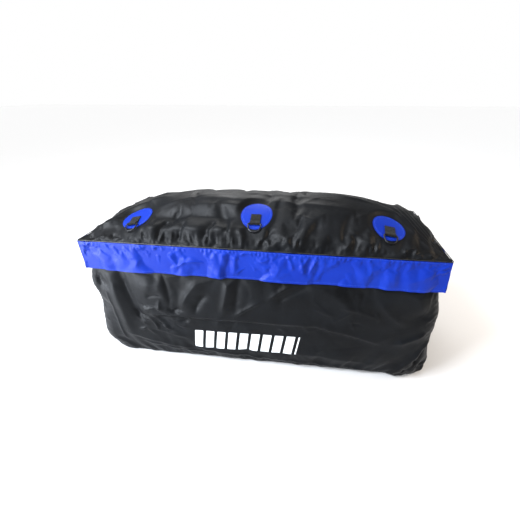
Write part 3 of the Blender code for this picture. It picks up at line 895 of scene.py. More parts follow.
@dataclass
class Walls:
    """The welded wrap of coated cloth: four wall panels, the base and the tapes in the corners."""

    levels: tuple = ((0.004, 0.768, 0.266, 0.115), (0.1, 0.775, 0.274, 0.105),
                     (0.33, 0.735, 0.258, 0.06), (0.545, 0.69, 0.23, 0.02),
                     (0.598, 0.69, 0.23, 0.02))
    top: float = 0.567
    rear_top: float = 0.598
    thickness: float = 0.0018
    rows: int = 60
    long_columns: int = 170
    end_columns: int = 56
    corner_columns: int = 12
    belly_eases: float = 0.284
    belly_room: float = 0.01
    settling: Settling = Settling(growth=0.012, pressure=0.5, stiffness=30.0, bending=2.0,
                                  steps=20, furthest=0.012, unevenness=0.003, seed=21)
    front_folds: tuple = (
        # The broad welded corner fold and the valley beside it
        Fold((-0.628, 0.5), (-0.602, 0.09), 0.03, 0.01, 0.01, 0.8, 1.6, 0.25),
        Fold((-0.585, 0.5), (-0.535, 0.18), 0.02, -0.012, 0.006, 1.5, 1.6, 0.3),
        Fold((-0.655, 0.43), (-0.64, 0.06), 0.006, 0.004, 0.0, 1.0, 1.3, 0.2),
        # The swollen upper wall on the left, over a level crease
        Fold((-0.52, 0.42), (-0.34, 0.4), 0.055, 0.012, -0.01, 1.0, 2.0, 0.4),
        Fold((-0.5, 0.468), (-0.4, 0.44), 0.008, -0.005, 0.008, 2.0, 1.4, 0.3),
        Fold((-0.48, 0.35), (-0.39, 0.362), 0.008, -0.006, 0.012, 2.0, 1.4, 0.3),
        Fold((-0.56, 0.272), (0.3, 0.28), 0.012, 0.009, -0.004, 3.4, 1.3, 0.2),
        Fold((-0.545, 0.256), (0.1, 0.262), 0.01, -0.005, -0.004, 1.0, 1.5, 0.2),
        Fold((0.2, 0.285), (0.56, 0.196), 0.01, 0.007, 0.01, 2.6, 1.4, 0.3),
        # Arched folds that fall from the flap
        Fold((-0.392, 0.5), (-0.378, 0.3), 0.01, -0.008, 0.012, 1.8, 1.5, 0.35),
        Fold((-0.14, 0.505), (-0.33, 0.29), 0.016, 0.013, -0.03, 2.2, 1.4, 0.25),
        Fold((-0.19, 0.4), (-0.27, 0.285), 0.014, -0.01, -0.012, 1.0, 1.6, 0.35),
        Fold((-0.1, 0.5), (-0.15, 0.285), 0.014, 0.011, 0.006, 1.6, 1.5, 0.3),
        Fold((-0.06, 0.5), (-0.09, 0.3), 0.014, -0.008, 0.0, 1.4, 1.6, 0.35),
        # Sharp slivers that catch the light
        Fold((-0.105, 0.28), (0.048, 0.384), 0.007, 0.009, 0.006, 1.8, 1.2, 0.35),
        Fold((0.04, 0.372), (0.2, 0.49), 0.008, 0.01, 0.008, 1.8, 1.2, 0.35),
        Fold((0.06, 0.36), (0.23, 0.47), 0.012, -0.007, 0.0, 1.0, 1.5, 0.35),
        # The slack right half
        Fold((0.25, 0.47), (0.42, 0.33), 0.024, 0.009, 0.014, 1.4, 1.5, 0.4),
        Fold((0.47, 0.44), (0.625, 0.3), 0.014, 0.009, -0.01, 2.0, 1.4, 0.35),
        Fold((0.58, 0.5), (0.672, 0.36), 0.02, 0.009, 0.008, 1.4, 1.5, 0.35),
        Fold((0.72, 0.3), (0.56, 0.205), 0.01, 0.009, 0.01, 2.0, 1.3, 0.35),
        Fold((0.33, 0.38), (0.52, 0.33), 0.01, 0.005, 0.008, 1.6, 1.4, 0.35),
        # The folded corner at the bottom right, tucked like the end of a parcel
        Fold((0.735, 0.255), (0.59, -0.01), 0.009, 0.014, 0.006, 3.0, 1.2, 0.2),
        Fold((0.76, 0.215), (0.64, 0.01), 0.012, -0.01, 0.0, 1.0, 1.5, 0.3),
        Fold((0.69, 0.12), (0.64, 0.02), 0.012, 0.01, 0.01, 1.0, 1.3, 0.3),
        # Roll lines above the base weld
        Fold((-0.64, 0.15), (-0.28, 0.066), 0.007, 0.007, -0.01, 2.2, 1.3, 0.25),
        Fold((-0.6, 0.1), (-0.2, 0.04), 0.006, 0.005, -0.006, 2.0, 1.3, 0.25),
        Fold((-0.33, 0.078), (0.12, 0.036), 0.006, 0.006, 0.0, 2.2, 1.3, 0.3),
        Fold((0.02, 0.044), (0.61, 0.02), 0.007, 0.006, 0.004, 2.0, 1.3, 0.25),
        Fold((0.1, 0.11), (0.56, 0.07), 0.014, 0.005, 0.008, 1.6, 1.5, 0.35),
        Fold((-0.52, 0.19), (-0.3, 0.13), 0.008, 0.006, 0.008, 1.8, 1.3, 0.35),
        # Crumpled patches
        Crumple((-0.43, 0.215), (0.11, 0.05), 26, 0.075, 0.006, 0.006, 5, -20.0, 90.0),
        Crumple((-0.41, 0.3), (0.09, 0.02), 10, 0.06, 0.006, 0.006, 6, 30.0, 120.0),
        Crumple((0.35, 0.3), (0.25, 0.08), 16, 0.11, 0.009, 0.004, 8, -20.0, 120.0),
        Crumple((0.7, 0.06), (0.06, 0.05), 22, 0.07, 0.007, 0.01, 9, 60.0, 120.0),
        Crumple((0.0, 0.24), (0.6, 0.2), 34, 0.15, 0.012, 0.003, 10, 0.0, 180.0),
    )
    rear_folds: tuple = (
        Fold((-0.56, 0.48), (-0.42, 0.2), 0.022, 0.011, 0.01, 1.6, 1.4, 0.3),
        Fold((-0.35, 0.5), (-0.15, 0.26), 0.018, 0.01, -0.015, 1.8, 1.4, 0.3),
        Fold((0.18, 0.5), (-0.02, 0.26), 0.02, 0.011, 0.012, 1.6, 1.4, 0.3),
        Fold((0.56, 0.5), (0.38, 0.23), 0.02, 0.011, 0.012, 1.6, 1.4, 0.3),
        Fold((-0.6, 0.262), (0.5, 0.276), 0.014, 0.007, 0.01, 3.0, 1.3, 0.2),
        Fold((-0.66, 0.13), (0.64, 0.05), 0.008, 0.006, -0.01, 2.2, 1.3, 0.2),
        Fold((-0.66, 0.42), (-0.63, 0.08), 0.024, 0.008, 0.01, 1.0, 1.5, 0.25),
        Fold((0.66, 0.42), (0.63, 0.08), 0.024, 0.008, -0.01, 1.0, 1.5, 0.25),
        Crumple((0.0, 0.25), (0.62, 0.18), 60, 0.13, 0.01, 0.005, 31, 0.0, 180.0),
        Crumple((-0.45, 0.2), (0.12, 0.05), 20, 0.075, 0.006, 0.006, 32, 20.0, 90.0),
    )
    end_folds: tuple = (
        Fold((-0.14, 0.5), (-0.06, 0.22), 0.02, 0.01, 0.01, 1.6, 1.4, 0.3),
        Fold((0.12, 0.5), (0.05, 0.26), 0.018, 0.01, -0.01, 1.6, 1.4, 0.3),
        Fold((-0.2, 0.262), (0.18, 0.28), 0.012, 0.007, 0.006, 3.0, 1.3, 0.25),
        Fold((-0.18, 0.1), (0.17, 0.06), 0.008, 0.006, 0.0, 2.2, 1.3, 0.25),
        Fold((-0.215, 0.4), (-0.165, 0.08), 0.01, 0.006, 0.0, 1.6, 1.3, 0.25),
        Crumple((0.0, 0.25), (0.18, 0.18), 36, 0.09, 0.008, 0.005, 41, 0.0, 180.0),
    )
    # Slack in the corners: height, spread and how far it stands out
    corner_swells = {(-1, -1): ((0.42, 0.06, 0.02), (0.11, 0.11, 0.022)),
                     (1, -1): ((0.33, 0.07, 0.012), (0.02, 0.07, 0.026)),
                     (-1, 1): ((0.4, 0.07, 0.014), (0.08, 0.1, 0.018)),
                     (1, 1): ((0.36, 0.09, 0.014), (0.06, 0.1, 0.016))}
    wrap: Cloth | None = None

    def section(self, height: np.ndarray) -> list[np.ndarray]:
        """Return the half length, half depth and corner radius at each height, eased at the levels.

        Args:
            height: Heights above the floor.

        Returns:
            The half length, half depth and corner radius.
        """
        places = [level[0] for level in self.levels]
        nearby = [np.clip(height + shift, 0.004, 0.598) for shift in (-0.03, -0.015, 0.0, 0.015, 0.03)]
        return [sum(np.interp(z, places, [level[k] for level in self.levels]) for z in nearby) / 5
                for k in (1, 2, 3)]

    def designed(self) -> Cloth:
        """Return the wrap before its cloth settles, from the front's left end round the bag.

        Returns:
            The wrap as a closed sheet.
        """
        share = np.linspace(0.0, 1.0, self.rows) ** 1.15
        columns = []
        for quarter, side in enumerate(Side):
            count = self.long_columns if side.is_long else self.end_columns
            rear_end = {Side.RIGHT: 1.0, Side.LEFT: 0.0}.get(side)
            for step in range(count):
                place = step / count
                near = 0.0 if rear_end is None else float(smooth_step(
                    np.array(1.0 - abs(place - rear_end)), 0.965, 1.0))
                near = 1.0 if side is Side.REAR else near
                z = 0.0008 + (self.top + (self.rear_top - self.top) * near - 0.0008) * share
                length, depth, radius = self.section(z)
                half = (length if side.is_long else depth) - radius
                reach = (depth if side.is_long else length)
                along = half * (2.0 * place - 1.0)
                columns.append(self.column(side, along, reach, z))
            corner_top = self.rear_top if quarter in (1, 2) else self.top
            z = 0.0008 + (corner_top - 0.0008) * share
            length, depth, radius = self.section(z)
            centre_x = (length - radius) * (1.0 if quarter in (0, 1) else -1.0)
            centre_y = (depth - radius) * (1.0 if quarter in (1, 2) else -1.0)
            for step in range(self.corner_columns):
                angle = math.radians(90.0 * (quarter - 1) + 90.0 * step / self.corner_columns)
                rounding = radius - self.tuck(z)
                columns.append(np.stack([centre_x + rounding * math.cos(angle),
                                         centre_y + rounding * math.sin(angle), z], -1))
        points = np.stack(columns, 1)
        middle = points[self.rows // 4]
        lengths = np.linalg.norm(np.roll(middle, -1, 0) - middle, axis=1)
        along = np.concatenate([[0.0], np.cumsum(lengths)])
        flat = np.stack(np.broadcast_arrays(along[None, :], (0.6 * share)[:, None]), -1)
        return Cloth(points, flat, cyclic=True)

    def tuck(self, z: np.ndarray) -> np.ndarray:
        """Return how far the cloth is turned in towards the base weld at each height."""
        return 0.005 * (1.0 - np.clip(z / 0.01, 0.0, 1.0)) ** 2

    def column(self, side: Side, along: np.ndarray, reach: np.ndarray, z: np.ndarray) -> np.ndarray:
        """Return one upright row of points on a straight side.

        Args:
            side: The side.
            along: Places along it.
            reach: How far out it lies.
            z: Heights of the points.

        Returns:
            The points.
        """
        (ax, ay), (ox, oy) = side.value
        reach = reach - self.tuck(z)
        return np.stack([along * ax + reach * ox, along * ay + reach * oy, z], -1)

    def settled(self) -> Cloth:
        """Settle the wrap's cloth and press its folds into it.

        Returns:
            The settled wrap.
        """
        designed = self.designed()
        z = designed.points[..., 2]
        normals = designed.normals
        upright = np.maximum(np.abs(normals[..., 0]), np.abs(normals[..., 1]))
        held = np.maximum(1.0 - smooth_step(z, 0.012, 0.03), smooth_step(z, 0.515, 0.545))
        held = np.maximum(held, 0.5 * (1.0 - smooth_step(upright, 0.75, 0.95)))
        loose = self.settling.run(designed, held).finer()
        plain = designed.finer()
        normals = plain.normals
        lift = np.zeros(plain.points.shape[:2])
        for side in Side:
            (ax, ay), (ox, oy) = side.value
            facing = smooth_step(normals[..., 0] * ox + normals[..., 1] * oy, 0.35, 0.8)
            along = plain.points[..., 0] * ax + plain.points[..., 1] * ay
            folds = {Side.FRONT: self.front_folds, Side.REAR: self.rear_folds}.get(side, self.end_folds)
            lift += facing * lift_of(folds, -along if side is Side.LEFT else along, plain.points[..., 2])
        for (dx, dy), swells in self.corner_swells.items():
            facing = np.clip((normals[..., 0] * dx + normals[..., 1] * dy) / math.hypot(dx, dy), 0, 1) ** 5
            for height, spread, amount in swells:
                lift += facing * amount * np.exp(-((plain.points[..., 2] - height) / spread) ** 2)
        z = plain.points[..., 2]
        lift *= smooth_step(z, -0.02, 0.025) * (1.0 - smooth_step(z, 0.48, 0.53))
        moved = loose.points + normals * lift[..., None]
        outward = ((moved - plain.points) * normals).sum(-1)
        limit = np.interp(z, (0.43, 0.47, 0.5, 0.545), (0.03, 0.006, 0.003, 0.0004))
        outward = np.maximum(outward - limit, 0.0)
        moved -= normals * outward[..., None]
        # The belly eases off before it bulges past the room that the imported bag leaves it
        over = np.maximum(np.abs(moved[..., 1]) - self.belly_eases, 0.0)
        eased = self.belly_room * np.tanh(over / self.belly_room)
        moved[..., 1] -= np.sign(moved[..., 1]) * (over - eased)
        moved[..., 2] = np.maximum(moved[..., 2], 0.0006)
        return Cloth(moved, plain.flat, cyclic=True)

    def build(self) -> None:
        """Make the four panels, the base and the corner tapes."""
        self.wrap = self.settled()
        corner = 2 * self.corner_columns
        start = -self.corner_columns
        for side in Side:
            count = 2 * (self.long_columns if side.is_long else self.end_columns) + corner
            columns = np.arange(start, start + count + 1)
            start += count
            panel = self.wrap.part(slice(None), columns)
            finish = PRINTED_CLOTH if side is Side.FRONT else BLACK_CLOTH
            name = f"{side.word}_wall" if side.is_long else f"{side.word}_end_wall"
            piece = panel.solid(f"{name}_fabric", self.thickness, finish.material())
            nodes = [name]
            if side.is_long:
                nodes += [f"{side.word}_{hand}_corner_panel" for hand in ("left", "right")]
            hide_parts(*nodes)
            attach(piece, "bag")
            LOG.info("%s made", piece.name)
        self.corner_tapes()
        self.base()

    def corner_tapes(self) -> None:
        """Weld a tape inside each corner."""
        corner = 2 * self.corner_columns
        start = -corner
        rows = np.arange(8, self.wrap.points.shape[0] - 8)
        names = {Side.FRONT: "front_left", Side.RIGHT: "front_right", Side.REAR: "rear_right",
                 Side.LEFT: "rear_left"}
        for side in Side:
            columns = np.arange(start + corner // 6, start + corner - corner // 6 + 1)
            points, normals = self.wrap.at(rows[:, None], columns[None, :])
            flat = self.wrap.part(slice(8, rows[-1] + 1), columns).flat
            tape = Cloth(points - normals * (self.thickness + 0.0003), flat)
            piece = tape.solid(f"{names[side]}_corner_tape_welded", 0.001, HINGE_CLOTH.material())
            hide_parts(f"{names[side]}_corner_tape")
            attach(piece, "bag")
            start += 2 * (self.long_columns if side.is_long else self.end_columns) + corner
        LOG.info("corner tapes made")

    def base(self) -> None:
        """Lay the base cloth, welded round its edge, as a square net pulled out to the wall's foot."""
        count = 161
        foot = self.designed().points[4]
        closed = np.concatenate([foot, foot[:1]])
        a, b = np.meshgrid(np.linspace(-1, 1, count), np.linspace(-1, 1, count))
        ring = np.maximum(np.abs(a), np.abs(b))
        safe = np.maximum(ring, 1e-9)
        sa, sb = a / safe, b / safe
        # Walk round the square from the front's left end and match the wall's own way round
        walk = np.where(sb <= -1 + 1e-9, (sa + 1) / 2, np.where(sa >= 1 - 1e-9, 1 + (sb + 1) / 2,
                        np.where(sb >= 1 - 1e-9, 2 + (1 - sa) / 2, 3 + (1 - sb) / 2)))
        lap = self.long_columns + self.end_columns + 2 * self.corner_columns
        marks = np.array([-self.corner_columns // 2, self.long_columns + self.corner_columns // 2,
                          lap - self.corner_columns // 2, lap + self.long_columns + self.corner_columns // 2,
                          2 * lap - self.corner_columns // 2], float)
        column = np.interp(walk, np.arange(5), marks) % (2 * lap)
        x = np.interp(column, np.arange(len(closed)), closed[:, 0])
        y = np.interp(column, np.arange(len(closed)), closed[:, 1])
        ripple = lift_of((Crumple((0, 0), (0.65, 0.2), 40, 0.16, 0.014, 0.0015, 51),),
                         x * ring, y * ring)
        edge = smooth_step(ring, 0.96, 0.99) * 0.0008
        z = 0.0034 + np.clip(ripple, -0.0008, 0.0016) + edge
        points = np.stack([x * ring * 0.994, y * ring * 0.992, z], -1)
        cloth = Cloth(points, points[..., :2].copy())
        piece = cloth.solid("base_fabric", 0.0022, BLACK_CLOTH.material())
        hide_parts("base_panel")
        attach(piece, "bag")
        LOG.info("%s made", piece.name)


# ---------------------------------------------------------------- lid


@dataclass
class Lid:
    """The domed lid cloth with its piping and the cloth hinge along the rear rim."""

    rows: int = 64
    columns: int = 180
    thickness: float = 0.0018
    highest: float = 0.744
    settling: Settling = Settling(growth=0.024, pressure=1.0, stiffness=40.0, bending=1.2,
                                  steps=26, furthest=0.018, unevenness=0.003, seed=3)
    folds: tuple = (
        # Hips from the corners up to the load
        Fold((-0.695, -0.232), (-0.35, -0.01), 0.02, 0.014, 0.02, 1.8, 1.3, 0.22),
        Fold((-0.69, 0.232), (-0.4, 0.04), 0.024, 0.01, -0.02, 1.6, 1.3, 0.25),
        Fold((0.69, 0.232), (0.48, 0.08), 0.02, 0.01, 0.015, 1.6, 1.3, 0.25),
        Fold((-0.64, -0.19), (-0.53, -0.13), 0.006, 0.005, 0.0, 1.6, 1.2, 0.3),
        # The gathered roll above the front seam and the hollow over it
        Fold((-0.5, -0.203), (0.03, -0.206), 0.026, 0.017, 0.0, 0.9, 1.8, 0.12),
        Fold((-0.44, -0.15), (-0.03, -0.152), 0.024, -0.014, 0.004, 1.3, 1.8, 0.2),
        Fold((-0.5, -0.232), (-0.435, -0.168), 0.006, 0.006, 0.0, 1.6, 1.2, 0.3),
        Fold((-0.372, -0.238), (-0.34, -0.168), 0.01, -0.01, 0.004, 1.4, 1.5, 0.3),
        Fold((-0.3, -0.238), (-0.268, -0.172), 0.009, -0.009, -0.006, 1.6, 1.5, 0.3),
        Fold((-0.19, -0.24), (-0.15, -0.165), 0.01, -0.011, 0.006, 1.6, 1.5, 0.3),
        Fold((-0.09, -0.24), (-0.1, -0.18), 0.008, -0.006, 0.004, 1.6, 1.5, 0.3),
        Fold((0.022, -0.24), (-0.018, -0.182), 0.008, -0.01, 0.004, 1.6, 1.4, 0.3),
        Fold((0.022, -0.24), (0.062, -0.186), 0.008, -0.009, -0.004, 1.6, 1.4, 0.3),
        Fold((0.01, -0.238), (0.045, -0.212), 0.006, 0.009, 0.0, 1.2, 1.3, 0.3),
        Fold((0.08, -0.232), (0.3, -0.205), 0.026, 0.008, 0.006, 1.2, 1.8, 0.3),
        # Slack folds on the right front
        Fold((0.33, -0.236), (0.368, -0.2), 0.009, 0.008, 0.0, 1.8, 1.3, 0.3),
        Fold((0.368, -0.2), (0.44, -0.222), 0.009, 0.007, 0.0, 1.8, 1.3, 0.3),
        Fold((0.45, -0.198), (0.49, -0.238), 0.009, -0.008, 0.0, 1.8, 1.3, 0.3),
        Fold((0.16, -0.2), (0.29, -0.15), 0.018, 0.006, 0.01, 1.6, 1.5, 0.3),
        Fold((0.52, -0.215), (0.66, -0.228), 0.012, 0.006, 0.004, 1.6, 1.5, 0.3),
        # Long tight folds across the load
        Fold((-0.43, -0.118), (-0.09, -0.012), 0.01, 0.006, 0.012, 2.4, 1.3, 0.3),
        Fold((-0.34, -0.07), (0.05, -0.085), 0.01, 0.005, 0.014, 2.4, 1.3, 0.3),
        Fold((-0.3, -0.1), (0.11, -0.115), 0.012, 0.004, 0.008, 2.0, 1.4, 0.3),
        Fold((-0.16, 0.0), (0.33, -0.052), 0.009, 0.005, 0.01, 2.4, 1.3, 0.3),
        Fold((0.02, -0.06), (0.38, -0.088), 0.01, 0.005, -0.006, 2.2, 1.3, 0.3),
        Fold((0.1, 0.04), (0.47, -0.02), 0.012, 0.005, 0.01, 2.0, 1.4, 0.3),
        Fold((-0.5, 0.11), (0.38, 0.13), 0.014, 0.005, 0.012, 2.0, 1.4, 0.2),
        # Fine tight ridges that run down to the front right corner
        Fold((0.694, -0.234), (0.5, 0.02), 0.006, 0.006, 0.03, 1.6, 1.2, 0.25),
        Fold((0.694, -0.228), (0.53, 0.05), 0.006, 0.007, 0.034, 1.6, 1.2, 0.25),
        Fold((0.695, -0.222), (0.56, 0.08), 0.006, 0.007, 0.034, 1.4, 1.2, 0.25),
        Fold((0.696, -0.214), (0.59, 0.11), 0.006, 0.006, 0.032, 1.4, 1.2, 0.25),
        Fold((0.697, -0.2), (0.62, 0.14), 0.006, 0.006, 0.028, 1.4, 1.2, 0.25),
        Fold((0.697, -0.18), (0.645, 0.17), 0.005, 0.005, 0.022, 1.4, 1.2, 0.25),
        # Gathers along the seams
        Crumple((0.0, -0.226), (0.67, 0.006), 70, 0.034, 0.005, 0.005, 61, 90.0, 50.0),
        Crumple((0.0, 0.226), (0.67, 0.006), 60, 0.034, 0.005, 0.005, 62, 90.0, 50.0),
        Crumple((-0.685, 0.0), (0.004, 0.2), 18, 0.034, 0.006, 0.004, 63, 0.0, 50.0),
        Crumple((0.685, 0.0), (0.004, 0.2), 18, 0.034, 0.006, 0.004, 64, 0.0, 50.0),
        Crumple((-0.05, 0.0), (0.6, 0.18), 30, 0.17, 0.01, 0.003, 65, 0.0, 80.0),
        Crumple((0.25, -0.19), (0.22, 0.03), 14, 0.06, 0.008, 0.005, 66, 20.0, 140.0),
    )
    cloth: Cloth | None = None

    def designed(self) -> Cloth:
        """Return the lid before its cloth settles.

        Returns:
            The lid as a sheet.
        """
        even = np.linspace(-1.0, 1.0, self.rows)
        y = RIM_HALF_DEPTH * (0.45 * even + 0.55 * np.sin(even * math.pi / 2))
        even = np.linspace(-1.0, 1.0, self.columns)
        x = RIM_HALF_LENGTH * (0.75 * even + 0.25 * np.sin(even * math.pi / 2))
        x, y = np.meshgrid(x, y)
        rim = np.minimum(RIM_HALF_LENGTH - np.abs(x), RIM_HALF_DEPTH - np.abs(y))
        z = dome_height(x, y) + 0.0012 + 0.0028 * smooth_step(rim, 0.0, 0.012)
        points = np.stack([x, y, z], -1)
        steps = [np.linalg.norm(np.diff(points, axis=axis), axis=2) for axis in (1, 0)]
        along = np.concatenate([[0.0], np.cumsum(steps[0][self.rows // 2])])
        up = np.concatenate([[0.0], np.cumsum(steps[1][:, self.columns // 2])])
        flat = np.stack(np.meshgrid(along, up), -1)
        return Cloth(points, flat)

    def settled(self) -> Cloth:
        """Settle the lid's cloth, press its folds into it and keep it flat under the patches.

        Returns:
            The settled lid.
        """
        designed = self.designed()
        x, y = designed.points[..., 0], designed.points[..., 1]
        rim = np.minimum(RIM_HALF_LENGTH - np.abs(x), RIM_HALF_DEPTH - np.abs(y))
        held = np.where(rim < 1e-6, 1.0, 0.0)
        loose = self.settling.run(designed, held).finer()
        plain = designed.finer()
        x, y = plain.points[..., 0], plain.points[..., 1]
        normals = plain.normals
        lift = lift_of(self.folds, x, y)
        rim = np.minimum(RIM_HALF_LENGTH - np.abs(x), RIM_HALF_DEPTH - np.abs(y))
        lift *= smooth_step(rim, 0.0, 0.01)
        move = loose.points - plain.points + normals * lift[..., None]
        for spot in LashingPoint.everywhere():
            away = np.hypot(x - spot.x, y - spot.y)
            ring = np.hypot(x - spot.x, y - spot.y * (0.19 / 0.133))
            share = np.minimum(smooth_step(away, 0.058, 0.088), smooth_step(ring, 0.026, 0.062))
            move *= (0.06 + 0.94 * share)[..., None]
        moved = plain.points + move
        over = moved[..., 2] - (self.highest - 0.012)
        moved[..., 2] -= np.where(over > 0, over - 0.012 * np.tanh(over / 0.012), 0.0)
        # The seam's edge stays on the rim, and nothing hangs outside it
        moved[..., 0] = np.clip(moved[..., 0], -0.706, 0.706)
        moved[..., 1] = np.clip(moved[..., 1], -0.25, 0.246)
        moved[..., 2] = np.maximum(moved[..., 2], RIM_HEIGHT + 0.0011)
        return Cloth(moved, plain.flat)

    def build(self) -> None:
        """Make the lid cloth, the hinge and the piping."""
        self.cloth = self.settled()
        piece = self.cloth.solid("lid_fabric", self.thickness, BLACK_CLOTH.material())
        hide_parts("lid_panel")
        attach(piece, "lid")
        LOG.info("lid cloth made")
        self.piping()
        self.hinge()

    def piping(self) -> None:
        """Sew the piping cord into the seam round the front and the ends."""
        reach, level = 0.0021, RIM_HEIGHT + 0.0021
        length, depth = RIM_HALF_LENGTH + reach, RIM_HALF_DEPTH + reach
        corners = [(-length, RIM_HALF_DEPTH), (-length, -depth + 0.003), (-length + 0.003, -depth),
                   (length - 0.003, -depth), (length, -depth + 0.003), (length, RIM_HALF_DEPTH)]
        path = evenly(np.array([(x, y, level) for x, y in corners]), 560)
        wave = uneven(1, len(path), 77, False, 1)[0]
        path[:, 2] += 0.0004 * np.clip(wave, -1.5, 1.5)
        piece = tube("lid_piping_cord", path, 0.0015, 10, False, PIPING.material())
        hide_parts("lid_piping")
        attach(piece, "lid")
        LOG.info("piping made")

    def hinge(self) -> None:
        """Make the cloth hinge: sewn to the rear band below and to the lid above."""
        x = np.linspace(-0.694, 0.694, 260)
        below = [(0.2466, 0.5925), (0.2463, 0.595), (0.2456, 0.5975), (0.2443, 0.6), (0.2426, 0.6022)]
        rows = [np.stack([x, np.full_like(x, y), np.full_like(x, z)], -1) for y, z in below]
        top = self.cloth.points.shape[0] - 1
        for step in range(6):
            columns = np.interp(x, self.cloth.points[top, :, 0], np.arange(self.cloth.points.shape[1]))
            points, normals = self.cloth.at(np.full_like(columns, top - 0.6 - 0.9 * step), columns)
            rows.append(points + normals * 0.0011)
        points = np.stack(rows)[::, ::-1]
        flat = np.stack(np.meshgrid(x + 0.7, np.arange(len(rows)) * 0.004), -1)
        cloth = Cloth(points, flat)
        piece = cloth.solid("hinge_fabric", 0.0009, HINGE_CLOTH.material())
        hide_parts("hinge_tape")
        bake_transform(piece)
        LOG.info("hinge made")


def evenly(path: np.ndarray, count: int, closed: bool = False) -> np.ndarray:
    """Return evenly spaced points along a path.

    Args:
        path: The points of the path.
        count: How many points to return.
        closed: Whether the path closes on itself.

    Returns:
        The evenly spaced points.
    """
    if closed:
        path = np.concatenate([path, path[:1]])
    lengths = np.concatenate([[0.0], np.cumsum(np.linalg.norm(np.diff(path, axis=0), axis=1))])
    places = np.linspace(0.0, lengths[-1], count + 1)[:-1] if closed else np.linspace(
        0.0, lengths[-1], count)
    return np.stack([np.interp(places, lengths, path[:, k]) for k in range(3)], -1)


def tube(name: str, path: np.ndarray, radius: float, sides: int, closed: bool,
         material: bpy.types.Material) -> bpy.types.Object:
    """Make a round tube along a path, closed into a ring or with capped ends.

    Args:
        name: The piece's name.
        path: Points along its middle.
        radius: Its radius, in metres.
        sides: How many faces go round it.
        closed: Whether its ends meet.
        material: The finish.

    Returns:
        The new piece.
    """
    curve = bpy.data.curves.new(name, "CURVE")
    curve.dimensions, curve.bevel_depth = "3D", radius
    curve.bevel_resolution = sides // 2 - 2
    curve.use_fill_caps = not closed
    spline = curve.splines.new("POLY")
    spline.points.add(len(path) - 1)
    spline.points.foreach_set("co", np.concatenate([path, np.ones((len(path), 1))], 1).ravel())
    spline.use_cyclic_u = closed
    obj = bpy.data.objects.new(name, curve)
    bpy.context.scene.collection.objects.link(obj)
    pick(obj)
    bpy.ops.object.convert(target="MESH")
    obj = bpy.context.object
    finish_mesh(obj, material, 60.0)
    return obj


def stitches(name: str, points: np.ndarray, normals: np.ndarray, pitch: float, length: float,
             width: float, material: bpy.types.Material) -> bpy.types.Object:
    """Sew a row of stitches along a path on a surface.

    Args:
        name: The piece's name.
        points: Points along the seam; a gap between two of them over 20 mm starts a new run.
        normals: The surface's normals at those points.
        pitch: The distance from stitch to stitch, in metres.
        length: The length of the thread that shows in each stitch.
        width: The thread's width.
        material: The finish.

    Returns:
        The new piece, of eight faces for each stitch.
    """
    steps = np.linalg.norm(np.diff(points, axis=0), axis=1)
    places = np.concatenate([[0.0], np.cumsum(steps)])
    wanted = np.arange(pitch / 2, places[-1], pitch)
    index = np.clip(np.searchsorted(places, wanted) - 1, 0, len(steps) - 1)
    wanted, index = wanted[steps[index] < 0.02], index[steps[index] < 0.02]
    share = ((wanted - places[index]) / np.maximum(steps[index], 1e-9))[:, None]
    middle = points[index] * (1 - share) + points[index + 1] * share
    up = normals[index]
    ahead = points[index + 1] - points[index]
    ahead /= np.maximum(np.linalg.norm(ahead, axis=1, keepdims=True), 1e-9)
    side = np.cross(up, ahead)
    shape = [middle - ahead * length / 2, middle + ahead * length / 2, middle + side * width / 2,
             middle - side * width / 2, middle + up * width * 0.55, middle - up * width * 0.3]
    corners = np.stack(shape, 1).reshape(-1, 3)
    pattern = ((0, 3, 4), (3, 1, 4), (1, 2, 4), (2, 0, 4), (3, 0, 5), (1, 3, 5), (2, 1, 5), (0, 2, 5))
    faces = [[6 * k + v for v in face] for k in range(len(middle)) for face in pattern]
    return mesh_piece(name, corners, faces, material, angle=80.0)


# ---------------------------------------------------------------- storm flaps


